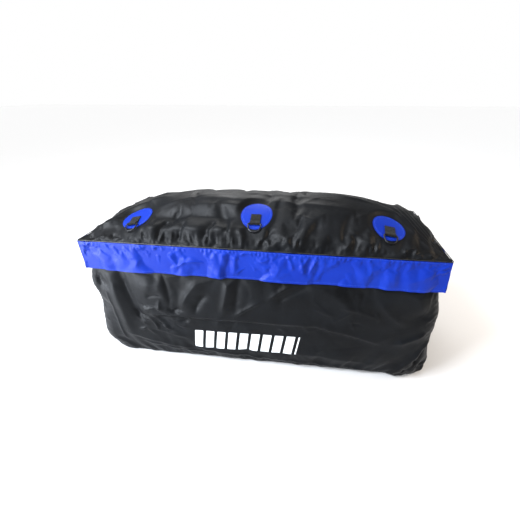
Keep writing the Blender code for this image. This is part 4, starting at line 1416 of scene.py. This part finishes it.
@dataclass
class Flap:
    """One blue storm flap, gathered along its seam, or the band that is sewn flat at the rear."""

    side: Side
    top: float = 0.5985
    height: float = 0.122
    flare: float = 0.08
    slit: float = 0.0012
    folds: tuple = ()
    cloth: Cloth | None = None

    @property
    def hangs(self) -> bool:
        """Whether the flap lifts; the rear band doesn't."""
        return self.side is not Side.REAR

    def designed(self) -> Cloth:
        """Return the flap before its cloth settles.

        Returns:
            The flap as a sheet.
        """
        rows, columns = (21, 200) if self.side.is_long else (21, 72)
        z = np.linspace(self.top - self.height, self.top, rows)[:, None]
        lean = (self.top - z) * self.flare + 0.0024
        half = (RIM_HALF_LENGTH if self.side.is_long else RIM_HALF_DEPTH) + lean - self.slit
        reach = (RIM_HALF_DEPTH if self.side.is_long else RIM_HALF_LENGTH) + lean
        along = half * np.linspace(-1.0, 1.0, columns)[None, :]
        (ax, ay), (ox, oy) = self.side.value
        points = np.stack(np.broadcast_arrays(along * ax + reach * ox, along * ay + reach * oy,
                                              z + 0.0 * along), -1)
        flat = np.stack(np.broadcast_arrays(along[-1:] * 1.0 + 0.75, (z - z[0])), -1)
        return Cloth(points, flat)

    def settled(self) -> Cloth:
        """Settle the flap's cloth and press its folds into it.

        Returns:
            The settled flap.
        """
        designed = self.designed()
        z = designed.points[..., 2]
        held = smooth_step(z, self.top - 0.016, self.top - 0.004)
        held[:, :1] = held[:, -1:] = 1.0
        if not self.hangs:
            held = np.maximum(held, 1.0 - smooth_step(z, z.min(), z.min() + 0.012))
        run = Settling(growth=0.03, pressure=0.05, stiffness=25.0, bending=0.6, steps=22,
                       furthest=0.01, unevenness=0.002, seed=90 + len(self.side.word))
        loose = run.run(designed, held).finer()
        plain = designed.finer()
        normals = plain.normals
        (ax, ay), _ = self.side.value
        along = plain.points[..., 0] * ax + plain.points[..., 1] * ay
        z = plain.points[..., 2]
        half = float(along.max())
        gathers = Crumple((0.0, self.top - 0.01), (half - 0.02, 0.004), int(half * 150), 0.03,
                          0.004, 0.003, 71, 90.0, 50.0)
        ripples = Crumple((0.0, self.top - 0.07), (half - 0.06, 0.05), int(half * 40), 0.085,
                          0.008, 0.003, 72, 80.0, 130.0)
        lift = lift_of((gathers, ripples, *self.folds), along, z)
        lift *= smooth_step(self.top - z, 0.0, 0.01) * smooth_step(half - np.abs(along), 0.0, 0.014)
        moved = loose.points + normals * lift[..., None]
        outward = ((moved - plain.points) * normals).sum(-1)
        inside = np.interp(z, (0.4765, 0.52, 0.56, 0.5985), (0.003, 0.002, 0.001, 0.0003))
        outside = np.interp(z, (0.4765, 0.58, 0.5985), (0.016, 0.012, 0.003))
        outside *= 1.0 if self.hangs else smooth_step(self.top - z, -0.002, 0.014)
        moved += normals * (np.clip(outward, -inside, outside) - outward)[..., None]
        return Cloth(moved, plain.flat)

    def build(self) -> None:
        """Make the flap, its hem stitches and its hook strip."""
        self.cloth = self.settled()
        rows = self.cloth.points.shape[0]
        hem = 0.0012 + 0.0008 * (np.arange(rows) < 4)[:, None]
        name = f"{self.side.word}_storm_flap" if self.hangs else "rear_band"
        body = f"{self.side.word}_flap" if self.hangs else "bag"
        piece = self.cloth.solid(f"{name}_fabric", hem, BLUE_CLOTH.material())
        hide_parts(name)
        self.follow(piece, body)
        columns = np.arange(4, self.cloth.points.shape[1] - 4, 1.0)
        sewn = []
        for row in (2.6, rows - 2.2):
            points, normals = self.cloth.at(np.full_like(columns, row), columns)
            sewn.append((points + normals * 0.0001, normals))
        points, normals = (np.concatenate([run[k] for run in sewn]) for k in (0, 1))
        seam = stitches(f"{name}_stitches", points, normals, 0.0042, 0.0032, 0.0007,
                        THREAD_BLUE.material())
        self.follow(seam, body)
        if self.hangs:
            self.hook_strip(body)
        LOG.info("%s made", piece.name)

    def follow(self, piece: bpy.types.Object, body: str) -> None:
        """Bake a hanging flap's piece where it was made, or let a piece of the rear band ride the bag.

        Args:
            piece: The finished piece.
            body: The body that the flap's free part belongs to.
        """
        if self.hangs:
            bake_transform(piece)
        else:
            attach(piece, body)

    def hook_strip(self, body: str) -> None:
        """Sew the hook strip inside the flap.

        Args:
            body: The body that the strip rides on.
        """
        rows = np.interp(np.linspace(STRIP_LOW, STRIP_HIGH, 5),
                         self.cloth.points[:, 5, 2], np.arange(self.cloth.points.shape[0]))
        count = self.cloth.points.shape[1]
        columns = np.linspace(0.07 * count, 0.93 * count, count // 2)
        points, normals = self.cloth.at(rows[:, None], columns[None, :])
        flat = np.stack(np.meshgrid(np.linspace(0, HOOK_LENGTHS[self.side.is_long], len(columns)),
                                    np.linspace(0, STRIP_HIGH - STRIP_LOW, 5)), -1)
        strip = Cloth(points - normals * 0.0014, flat)
        piece = strip.solid(f"{self.side.word}_hook_pile", 0.0012, HOOKS.material())
        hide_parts(f"{self.side.word}_hook_strip")
        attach(piece, body)


FRONT_FLAP_FOLDS = (
    # A pinch shaped like a Y under the seam, with dents beside it
    Fold((-0.376, 0.594), (-0.36, 0.553), 0.006, -0.007, 0.0, 1.4, 1.3, 0.25),
    Fold((-0.312, 0.594), (-0.352, 0.553), 0.006, -0.007, 0.0, 1.4, 1.3, 0.25),
    Fold((-0.362, 0.562), (-0.326, 0.506), 0.006, -0.007, 0.004, 1.6, 1.3, 0.25),
    Fold((-0.344, 0.576), (-0.3, 0.512), 0.009, 0.008, 0.006, 1.4, 1.4, 0.3),
    Fold((-0.382, 0.575), (-0.378, 0.5), 0.01, 0.006, 0.0, 1.4, 1.5, 0.3),
    Fold((-0.28, 0.536), (-0.18, 0.53), 0.007, 0.007, 0.01, 1.6, 1.3, 0.3),
    Fold((-0.318, 0.506), (-0.262, 0.546), 0.006, 0.006, 0.0, 1.4, 1.3, 0.3),
    Fold((-0.27, 0.556), (-0.2, 0.548), 0.008, -0.005, 0.008, 1.4, 1.5, 0.3),
    # An upright fold left of the middle
    Fold((-0.082, 0.6), (-0.114, 0.47), 0.007, -0.01, 0.0, 1.2, 1.3, 0.2),
    Fold((-0.108, 0.6), (-0.14, 0.465), 0.016, 0.009, 0.0, 1.2, 1.5, 0.2),
    Fold((-0.062, 0.59), (-0.08, 0.48), 0.01, 0.006, 0.0, 1.2, 1.5, 0.25),
    # Ripples near the middle
    Fold((-0.06, 0.574), (0.034, 0.592), 0.006, 0.006, 0.01, 1.4, 1.3, 0.3),
    Fold((-0.072, 0.49), (-0.014, 0.53), 0.007, 0.006, 0.008, 1.4, 1.3, 0.3),
    Fold((-0.03, 0.56), (0.006, 0.5), 0.007, 0.006, 0.01, 1.4, 1.3, 0.3),
    Fold((0.016, 0.56), (0.07, 0.58), 0.006, 0.005, -0.008, 1.4, 1.3, 0.3),
    Fold((0.126, 0.594), (0.152, 0.53), 0.006, 0.008, 0.004, 1.2, 1.3, 0.25),
    Fold((0.172, 0.592), (0.192, 0.516), 0.006, 0.008, 0.004, 1.2, 1.3, 0.25),
    Fold((0.214, 0.594), (0.176, 0.528), 0.006, 0.006, -0.004, 1.2, 1.3, 0.25),
    Fold((0.246, 0.588), (0.212, 0.512), 0.007, 0.007, -0.006, 1.2, 1.3, 0.25),
    Fold((0.268, 0.594), (0.23, 0.478), 0.018, 0.009, 0.01, 1.0, 1.6, 0.25),
    # The flatter right half, with short creases at its corner
    Fold((0.34, 0.52), (0.64, 0.512), 0.03, 0.004, 0.006, 1.0, 1.8, 0.3),
    Fold((0.56, 0.5), (0.66, 0.56), 0.014, 0.004, 0.0, 1.4, 1.5, 0.3),
    Fold((0.65, 0.566), (0.699, 0.584), 0.004, 0.006, 0.0, 1.4, 1.2, 0.25),
    Fold((0.655, 0.552), (0.699, 0.566), 0.004, 0.005, 0.0, 1.4, 1.2, 0.25),
    # The broad tight left end
    Fold((-0.64, 0.48), (-0.5, 0.56), 0.03, 0.004, 0.0, 1.4, 1.8, 0.3),
    Fold((-0.47, 0.59), (-0.44, 0.48), 0.022, -0.006, 0.0, 1.4, 1.6, 0.3),
)
END_FLAP_FOLDS = (
    Fold((-0.15, 0.594), (-0.12, 0.48), 0.01, 0.007, 0.004, 1.4, 1.4, 0.25),
    Fold((-0.03, 0.594), (-0.06, 0.5), 0.008, -0.007, 0.004, 1.4, 1.4, 0.25),
    Fold((0.07, 0.594), (0.1, 0.48), 0.012, 0.008, 0.0, 1.4, 1.4, 0.25),
    Fold((0.15, 0.56), (0.21, 0.5), 0.01, 0.005, 0.0, 1.4, 1.4, 0.3),
)


# ---------------------------------------------------------------- lashing points


class Ground:
    """The settled lid as a surface to lay things on."""

    def __init__(self, cloth: Cloth) -> None:
        """Take the outer face of a cloth."""
        rows, columns = cloth.points.shape[:2]
        number = np.arange(rows * columns).reshape(rows, columns)
        quads = np.stack([number[:-1, :-1], number[:-1, 1:], number[1:, 1:], number[1:, :-1]], -1)
        self.tree = BVHTree.FromPolygons(cloth.points.reshape(-1, 3).tolist(),
                                         quads.reshape(-1, 4).tolist())

    def level(self, x: float, y: float) -> float:
        """Return the surface's height at a place."""
        hit = self.tree.ray_cast(Vector((x, y, 1.0)), Vector((0.0, 0.0, -1.0)))[0]
        return hit.z if hit else float(dome_height(np.array(x), np.array(y))) + LID_THICKNESS

    def levels(self, x: np.ndarray, y: np.ndarray) -> np.ndarray:
        """Return the surface's heights at many places."""
        found = [self.level(a, b) for a, b in zip(x.ravel(), y.ravel())]
        return np.array(found).reshape(x.shape)


@dataclass
class LashingPoint:
    """A round patch welded to the lid, a webbing loop sewn on it, and a ring in the loop."""

    row: str
    column: str
    patch_radius: float = 0.06
    webbing_width: float = 0.038
    webbing_length: float = 0.046
    wire_radius: float = 0.0025
    loop_radius: float = 0.0047
    ring_half_width: float = 0.0245
    ring_depth: float = 0.034
    ring_corner: float = 0.0045

    @staticmethod
    def everywhere() -> list["LashingPoint"]:
        """Return the six lashing points."""
        return [LashingPoint(row, column) for row in ("front", "rear")
                for column in ("left", "middle", "right")]

    @property
    def x(self) -> float:
        """The patch's place along the bag."""
        return {"left": -0.494, "middle": 0.0, "right": 0.494}[self.column]

    @property
    def outward(self) -> float:
        """-1 on the front row and 1 on the rear row."""
        return -1.0 if self.row == "front" else 1.0

    @property
    def y(self) -> float:
        """The patch's place across the bag."""
        return 0.133 * self.outward

    @property
    def place(self) -> str:
        """The start of its pieces' names."""
        return f"{self.row}_{self.column}"

    def slope(self, x: float, y: float) -> tuple[Vector, Vector, Vector]:
        """Return unit vectors along the bag, up the lid's face and out of it.

        Args:
            x: The place along the bag.
            y: The place across it.

        Returns:
            The three unit vectors.
        """
        step = 0.001
        heights = [float(dome_height(np.array(x + across), np.array(y + up)))
                   for across, up in ((step, 0.0), (-step, 0.0), (0.0, step), (0.0, -step))]
        slope_x = (heights[0] - heights[1]) / (2 * step)
        slope_y = (heights[2] - heights[3]) / (2 * step)
        along = Vector((1.0, 0.0, slope_x)).normalized()
        normal = Vector((-slope_x, -slope_y, 1.0)).normalized()
        return along, normal.cross(along), normal

    def build(self, ground: Ground) -> None:
        """Make the patch, the webbing and the ring.

        Args:
            ground: The settled lid.
        """
        self.patch(ground)
        seat_y = self.y + 0.022 * self.outward
        along, up_face, normal = self.slope(self.x, seat_y)
        downhill = up_face * self.outward
        seat = Vector((self.x, seat_y, float(dome_height(np.array(self.x), np.array(seat_y))) + 0.0065))
        start = seat - downhill * 0.022
        self.webbing(ground, start, along, downhill, normal)
        axis = start + downhill * self.webbing_length + normal * self.loop_radius
        _, rest_up, _ = self.slope(self.x, axis.y + 0.02 * self.outward)
        rest_down = (rest_up - along * rest_up.dot(along)).normalized() * self.outward
        self.ring(axis, along, rest_down)
        LOG.info("%s lashing point made", self.place)

    def patch(self, ground: Ground) -> None:
        """Weld the round patch on, with a pressed groove and a row of stitches inside its rim.

        Args:
            ground: The settled lid.
        """
        a, b = np.meshgrid(np.linspace(-1, 1, 45), np.linspace(-1, 1, 45))
        u, v = a * np.sqrt(1 - b * b / 2), b * np.sqrt(1 - a * a / 2)
        x, y = self.x + u * self.patch_radius, self.y + v * self.patch_radius
        radius = np.hypot(u, v) * self.patch_radius
        level = ground.levels(x, y)
        for _ in range(2):
            padded = np.pad(level, 1, mode="edge")
            level = np.maximum(level, (padded[:-2, 1:-1] + padded[2:, 1:-1] + padded[1:-1, :-2]
                                       + padded[1:-1, 2:]) / 4)
        groove = 0.0004 * np.exp(-((radius - 0.0555) / 0.0012) ** 2)
        cushion = 0.0006 * smooth_step(self.patch_radius - radius, 0.0, 0.003)
        z = level + 0.0011 + cushion - groove
        flat = np.stack([x, y], -1) + 0.8
        cloth = Cloth(np.stack([x, y, z], -1), flat)
        piece = cloth.solid(f"{self.place}_patch_fabric", 0.0014, BLUE_CLOTH.material())
        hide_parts(f"{self.place}_patch")
        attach(piece, "lid")
        angle = np.linspace(0.0, 2.0 * math.pi, 150)
        run = np.stack([self.x + 0.053 * np.cos(angle), self.y + 0.053 * np.sin(angle)], -1)
        height = ground.levels(run[:, 0], run[:, 1]) + 0.0018
        normal = np.array(self.slope(self.x, self.y)[2])
        seam = stitches(f"{self.place}_patch_stitches", np.column_stack([run, height]),
                        np.tile(normal, (len(run), 1)), 0.0042, 0.003, 0.0007, THREAD_BLUE.material())
        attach(seam, "lid")

    def webbing(self, ground: Ground, start: Vector, along: Vector, downhill: Vector,
                normal: Vector) -> None:
        """Fold the webbing round the ring's bar and sew it down with a boxed cross.

        Args:
            ground: The settled lid.
            start: The ring's bar.
            along: The way along the bag.
            downhill: The way down the lid.
            normal: The way out of the lid.
        """
        length, loop = self.webbing_length, self.loop_radius - 0.0008
        turn = np.radians(np.linspace(-90.0, 128.0, 22))
        path = [(s, 0.0008) for s in np.linspace(0.0, length, 14)[:-1]]
        path += [(length + loop * math.cos(t), self.loop_radius + loop * math.sin(t)) for t in turn]
        throat = path[-1]
        ease = np.linspace(0.0, 1.0, 16)[1:]
        path += [(throat[0] * (1 - e), 0.0024 + (throat[1] - 0.0024) * float(
            1 - smooth_step(np.array(e), 0.0, 0.32))) for e in ease]
        path = np.array(path)
        across = np.linspace(-0.5, 0.5, 13) * self.webbing_width
        base = np.array(start) + np.array(downhill) * path[:, :1]
        grid = base[:, None, :] + np.array(along) * across[None, :, None]
        settle = ground.levels(grid[..., 0], grid[..., 1]) + 0.0018 + 0.0006 - grid[..., 2]
        near = 1.0 - smooth_step(path[:, 0], length - 0.016, length - 0.004)
        lift = path[:, 1][:, None] + settle * normal.z * near[:, None]
        grid = grid + np.array(normal) * lift[..., None]
        run = np.concatenate([[0.0], np.cumsum(np.linalg.norm(np.diff(path, axis=0), axis=1))])
        flat = np.stack(np.meshgrid(across + 0.02, run), -1)
        cloth = Cloth(grid, flat)
        # The under turn looks down, so a strip whose under turn looks up has its columns turned round
        if cloth.normals[3].mean(0) @ np.array(normal) > 0:
            cloth = Cloth(grid[:, ::-1], flat[:, ::-1])
        piece = cloth.pushed(0.00075).solid(f"{self.place}_webbing_woven", 0.0015, WEBBING.material())
        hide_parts(f"{self.place}_webbing")
        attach(piece, "lid")
        half, low, high = self.webbing_width / 2 - 0.004, 0.004, 0.028
        corners = [(-half, low), (half, low), (half, high), (-half, high), (-half, low),
                   (half, high), (half, low), (-half, high)]
        sewn = []
        for (w0, s0), (w1, s1) in zip(corners, corners[1:]):
            for share in np.linspace(0.0, 1.0, 12):
                w, s = w0 + (w1 - w0) * share, s0 + (s1 - s0) * share
                spot = start + downhill * s + along * w
                lower = ground.level(spot.x, spot.y) + 0.0024 - spot.z
                sewn.append(spot + normal * (0.0024 + 0.0008 + lower * normal.z))
        seam = stitches(f"{self.place}_webbing_stitches", np.array(sewn),
                        np.tile(np.array(normal), (len(sewn), 1)), 0.0034, 0.0026, 0.0007,
                        THREAD_BLACK.material())
        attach(seam, "lid")

    def ring(self, axis: Vector, along: Vector, down: Vector) -> None:
        """Bend the ring's wire: a straight bar, and a bow that lies down the lid.

        Args:
            axis: The middle of the ring's bar.
            along: The way along the bar.
            down: The way that the bow lies.
        """
        inner, corner = self.ring_half_width - self.ring_corner, self.ring_corner
        bend = np.radians(np.linspace(-90.0, 0.0, 8))
        right = np.stack([inner + corner * np.cos(bend), corner + corner * np.sin(bend)], -1)
        sweep = np.linspace(0.0, math.pi, 60)[1:-1]
        bow = np.stack([self.ring_half_width * np.sign(np.cos(sweep)) * np.abs(np.cos(sweep)) ** 0.85,
                        corner + (self.ring_depth - corner) * np.sin(sweep)], -1)
        left = right[::-1] * (-1.0, 1.0)
        plan = np.concatenate([right, bow, left])
        path = np.array(axis) + plan[:, :1] * np.array(along) + plan[:, 1:] * np.array(down)
        piece = tube(f"{self.place}_ring_wire", evenly(path, 96, True), self.wire_radius, 12, True,
                     RING_STEEL.material())
        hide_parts(f"{self.place}_ring")
        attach(piece, f"{self.place}_lashing_ring")


# ---------------------------------------------------------------- zip


@dataclass
class Zip:
    """The two-way coil zip under the flaps: tapes, coils, stops, sliders and pull tabs."""

    half_length: float = 0.691
    half_depth: float = 0.231
    corner: float = 0.021
    rear_end: float = 0.2
    level: float = 0.5755
    tooth_pitch: float = 0.0026

    def plan(self, offset: float, count: int) -> np.ndarray:
        """Return evenly spaced points of the zip's plan, from its left rear end round the front.

        Args:
            offset: How far outside the rim the points lie.
            count: How many points.

        Returns:
            The points.
        """
        length, depth = self.half_length + offset, self.half_depth + offset
        radius = self.corner + offset
        bend = np.radians(np.linspace(0.0, 90.0, 13))
        quarter = np.stack([length - radius + radius * np.cos(bend),
                            depth - radius + radius * np.sin(bend)], -1)
        path = np.concatenate([[(-length, self.rear_end)], quarter * (-1, -1),
                               quarter[::-1] * (1, -1), [(length, self.rear_end)]])
        return evenly(np.column_stack([path, np.zeros(len(path))]), count)

    def strip(self, name: str, low: float, high: float, outer: float, thickness: float,
              material: bpy.types.Material, rows: int = 5) -> bpy.types.Object:
        """Make one strip of the zip between two heights.

        Args:
            name: The name of the piece.
            low: Its lower edge.
            high: Its upper edge.
            outer: Where its outer face lies.
            thickness: Its thickness.
            material: Its material.
            rows: Rows of points between its edges.

        Returns:
            The strip.
        """
        plan = self.plan(outer, 700)
        z = np.linspace(low, high, rows)
        points = np.stack([plan + (0.0, 0.0, level) for level in z])
        lengths = np.concatenate([[0.0], np.cumsum(np.linalg.norm(np.diff(plan, axis=0), axis=1))])
        flat = np.stack(np.meshgrid(lengths, z - low), -1)
        return Cloth(points, flat).solid(name, thickness, material)

    def build(self) -> None:
        """Make the tapes, the coils and their ends."""
        for part, body, low, high in (("lower", "bag", 0.556, 0.574), ("upper", "lid", 0.577, 0.5995)):
            tape = self.strip(f"{part}_zip_tape_weave", low, high, 0.0005, 0.001, ZIP_TAPE.material())
            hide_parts(f"{part}_zip_tape")
            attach(tape, body)
            self.coil(part, body)
        self.stops()
        for side, along in (("left", -0.014), ("right", 0.014)):
            self.slider(side, along)
            self.tab(side, along)
        LOG.info("zip made")

    def coil(self, part: str, body: str) -> None:
        """Make one coil: a row of teeth with rounded heads that reach to the middle of the zip.

        Args:
            part: Lower or upper.
            body: The body that it rides on.
        """
        sign = -1.0 if part == "lower" else 1.0
        plan = self.plan(0.0, int(2.2 / self.tooth_pitch))
        ahead = np.gradient(plan, axis=0)
        ahead /= np.linalg.norm(ahead, axis=1, keepdims=True)
        out = np.cross(ahead, (0.0, 0.0, 1.0))
        up = np.array((0.0, 0.0, sign))
        half = self.tooth_pitch * 0.34
        ring = [(-1.0, -0.8), (-1.0, 0.8), (-0.55, 1.0), (0.55, 1.0), (1.0, 0.8), (1.0, -0.8),
                (0.55, -1.0), (-0.55, -1.0)]
        levels = ((0.0009, 0.7), (0.0014, 1.0), (0.0031, 0.8))
        middle = plan + (0.0, 0.0, self.level)
        corners = [middle + up * z + ahead * (a * half * k) + out * (b * 0.00145 * k)
                   for z, k in levels for a, b in ring]
        points = np.stack(corners, 1).reshape(-1, 3)
        wall = [[8 * s + k, 8 * s + (k + 1) % 8, 8 * s + 8 + (k + 1) % 8, 8 * s + 8 + k]
                for s in range(2) for k in range(8)]
        pattern = [list(range(8))[::-1], *wall, list(range(16, 24))]
        if sign > 0:
            pattern = [face[::-1] for face in pattern]
        faces = [[24 * n + v for v in face] for n in range(len(middle)) for face in pattern]
        piece = mesh_piece(f"{part}_zip_coil_teeth", points, faces, COIL.material())
        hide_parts(f"{part}_zip_coil")
        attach(piece, body)

    def block(self, name: str, centre: tuple[float, float, float], size: tuple[float, float, float],
              rounding: float) -> bpy.types.Object:
        """Add a block at its size and place and round its edges.

        Args:
            name: The block's name.
            centre: Its middle.
            size: Its lengths along x, y and z.
            rounding: The radius of its edges.

        Returns:
            The block.
        """
        bpy.ops.object.select_all(action="DESELECT")
        bpy.ops.mesh.primitive_cube_add(size=1.0, location=centre)
        obj = bpy.context.object
        obj.name = name
        obj.scale = size
        bpy.ops.object.transform_apply(location=True, rotation=False, scale=True)
        bevel = obj.modifiers.new("rounding", "BEVEL")
        bevel.width, bevel.segments, bevel.limit_method = rounding, 3, "NONE"
        bpy.ops.object.modifier_apply(modifier=bevel.name)
        return obj

    def joined(self, name: str, parts: list[bpy.types.Object],
               material: bpy.types.Material) -> bpy.types.Object:
        """Join blocks into one casting.

        Args:
            name: The name of the casting.
            parts: The blocks.
            material: Its material.

        Returns:
            The casting.
        """
        pick(*parts)
        bpy.ops.object.join()
        obj = bpy.context.object
        obj.name = obj.data.name = name
        finish_mesh(obj, material, 40.0)
        return obj

    def stops(self) -> None:
        """Clamp a bent metal stop over each end of the lower coil."""
        for side, sign in (("left", -1.0), ("right", 1.0)):
            low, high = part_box(f"{side}_zip_stop")
            centre, size = (low + high) / 2, high - low
            body = self.block("stop", tuple(centre), (size.x, size.y, size.z), 0.0004)
            lip = self.block("lip", (centre.x + sign * 0.0006, centre.y, centre.z),
                             (size.x * 0.7, size.y * 0.55, size.z * 1.02), 0.0003)
            piece = self.joined(f"{side}_zip_stop_clamped", [body, lip], ZINC.material())
            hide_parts(f"{side}_zip_stop")
            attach(piece, "bag")

    def slider(self, side: str, along: float) -> None:
        """Cast one slider: two plates with a wedge nose, a post between them and an arch.

        Args:
            side: Left or right.
            along: Where it stands along the zip.
        """
        plates = []
        for inner, outer in ((-0.2275, -0.229), (-0.2336, -0.2351)):
            plate = self.block("plate", (along, (inner + outer) / 2, self.level),
                               (0.024, abs(outer - inner), 0.014), 0.0005)
            mesh = bmesh.new()
            mesh.from_mesh(plate.data)
            nose = 1.0 if side == "left" else -1.0
            for vertex in mesh.verts:
                share = max(0.0, (vertex.co.x - along) * nose / 0.012)
                vertex.co.z = self.level + (vertex.co.z - self.level) * (1.0 - 0.28 * share ** 2)
            mesh.to_mesh(plate.data)
            mesh.free()
            plates.append(plate)
        post = self.block("post", (along, -0.2313, self.level), (0.008, 0.006, 0.0009), 0.0002)
        reach = -0.2351 - 0.003
        arch = [self.block("arch", (along, reach - 0.0006, self.level), (0.005, 0.0012, 0.012), 0.0004)]
        for sign in (-1.0, 1.0):
            arch.append(self.block("foot", (along, -0.23685, self.level + sign * 0.0054),
                                   (0.005, 0.0046, 0.0012), 0.0004))
        piece = self.joined(f"{side}_zip_slider_cast", [*plates, post, *arch], ZINC.material())
        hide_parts(f"{side}_zip_slider")
        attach(piece, f"{side}_slider")

    def tab(self, side: str, along: float) -> None:
        """Stamp one pull tab: a rounded tongue with its eye, a raised rim and grip ridges.

        Args:
            side: Left or right.
            along: Where it hangs along the zip.
        """
        low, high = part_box(f"{side}_pull_tab")
        middle, top, half = (low.y + high.y) / 2, high.z, (high.x - low.x) / 2
        thickness = high.y - low.y
        bend = np.radians(np.linspace(0.0, -180.0, 17))
        centre = low.z + half
        outline = [(-half, top), (half, top)]
        outline += [(half * math.cos(a), centre + half * math.sin(a)) for a in bend]
        eye = [(x, top - z) for x, z in ((-0.0032, 0.0016), (-0.0032, 0.0116), (0.0032, 0.0116),
                                         (0.0032, 0.0016))]
        curve = bpy.data.curves.new("tab", "CURVE")
        curve.dimensions, curve.fill_mode = "2D", "BOTH"
        curve.extrude, curve.bevel_depth, curve.bevel_resolution = thickness / 2 - 0.0003, 0.0003, 2
        curve.offset = -0.0003
        for shape in (outline, eye):
            spline = curve.splines.new("POLY")
            spline.points.add(len(shape) - 1)
            for point, (x, z) in zip(spline.points, shape):
                point.co = (x, z, 0.0, 1.0)
            spline.use_cyclic_u = True
        blank = bpy.data.objects.new("tab", curve)
        bpy.context.scene.collection.objects.link(blank)
        pick(blank)
        bpy.ops.object.convert(target="MESH")
        blank = bpy.context.object
        blank.data.transform(Matrix.Translation((along, middle, 0.0)) @ Matrix.Rotation(math.pi / 2, 4, "X"))
        ridges = [self.block("ridge", (along, middle, centre + 0.002 + 0.0026 * k),
                             (half * 1.3, thickness + 0.0005, 0.0009), 0.0002) for k in range(5)]
        piece = self.joined(f"{side}_pull_tab_stamped", [blank, *ridges], ZINC.material())
        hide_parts(f"{side}_pull_tab")
        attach(piece, f"{side}_tab")


@dataclass
class LoopStrips:
    """The loop strips that are sewn to the wall behind each flap."""

    low: float = STRIP_LOW
    high: float = STRIP_HIGH
    share: float = 0.86

    def build(self, walls: Walls) -> None:
        """Sew one strip on the front and one on each end.

        Args:
            walls: The walls that the strips are sewn to.
        """
        corner = 2 * walls.corner_columns
        start = 0
        for side in Side:
            count = 2 * (walls.long_columns if side.is_long else walls.end_columns)
            if side is not Side.REAR:
                margin = (1.0 - self.share) / 2 * count
                columns = np.linspace(start + margin, start + count - margin, count // 2)
                heights = walls.wrap.points[:, start + count // 2, 2]
                rows = np.interp(np.linspace(self.low, self.high, 6), heights, np.arange(len(heights)))
                points, normals = walls.wrap.at(rows[:, None], columns[None, :])
                length = float(np.linalg.norm(np.diff(points[0], axis=0), axis=1).sum())
                flat = np.stack(np.meshgrid(np.linspace(0, length, len(columns)),
                                            np.linspace(0, self.high - self.low, 6)), -1)
                strip = Cloth(points + normals * 0.0014, flat)
                piece = strip.solid(f"{side.word}_loop_pile", 0.0012, LOOPS.material())
                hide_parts(f"{side.word}_loop_strip")
                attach(piece, "bag")
            start += count + corner
        LOG.info("loop strips made")


def main() -> None:
    """Build the studio and the bag, from the floor up."""
    logging.basicConfig(level=logging.INFO, format="%(name)s: %(message)s")
    Studio().build()
    walls = Walls()
    walls.build()
    LoopStrips().build(walls)
    Zip().build()
    lid = Lid()
    lid.build()
    for side in Side:
        folds = {Side.FRONT: FRONT_FLAP_FOLDS, Side.REAR: ()}.get(side, END_FLAP_FOLDS)
        Flap(side, folds=folds).build()
    ground = Ground(lid.cloth)
    for spot in LashingPoint.everywhere():
        spot.build(ground)


if __name__ == "__main__":
    main()
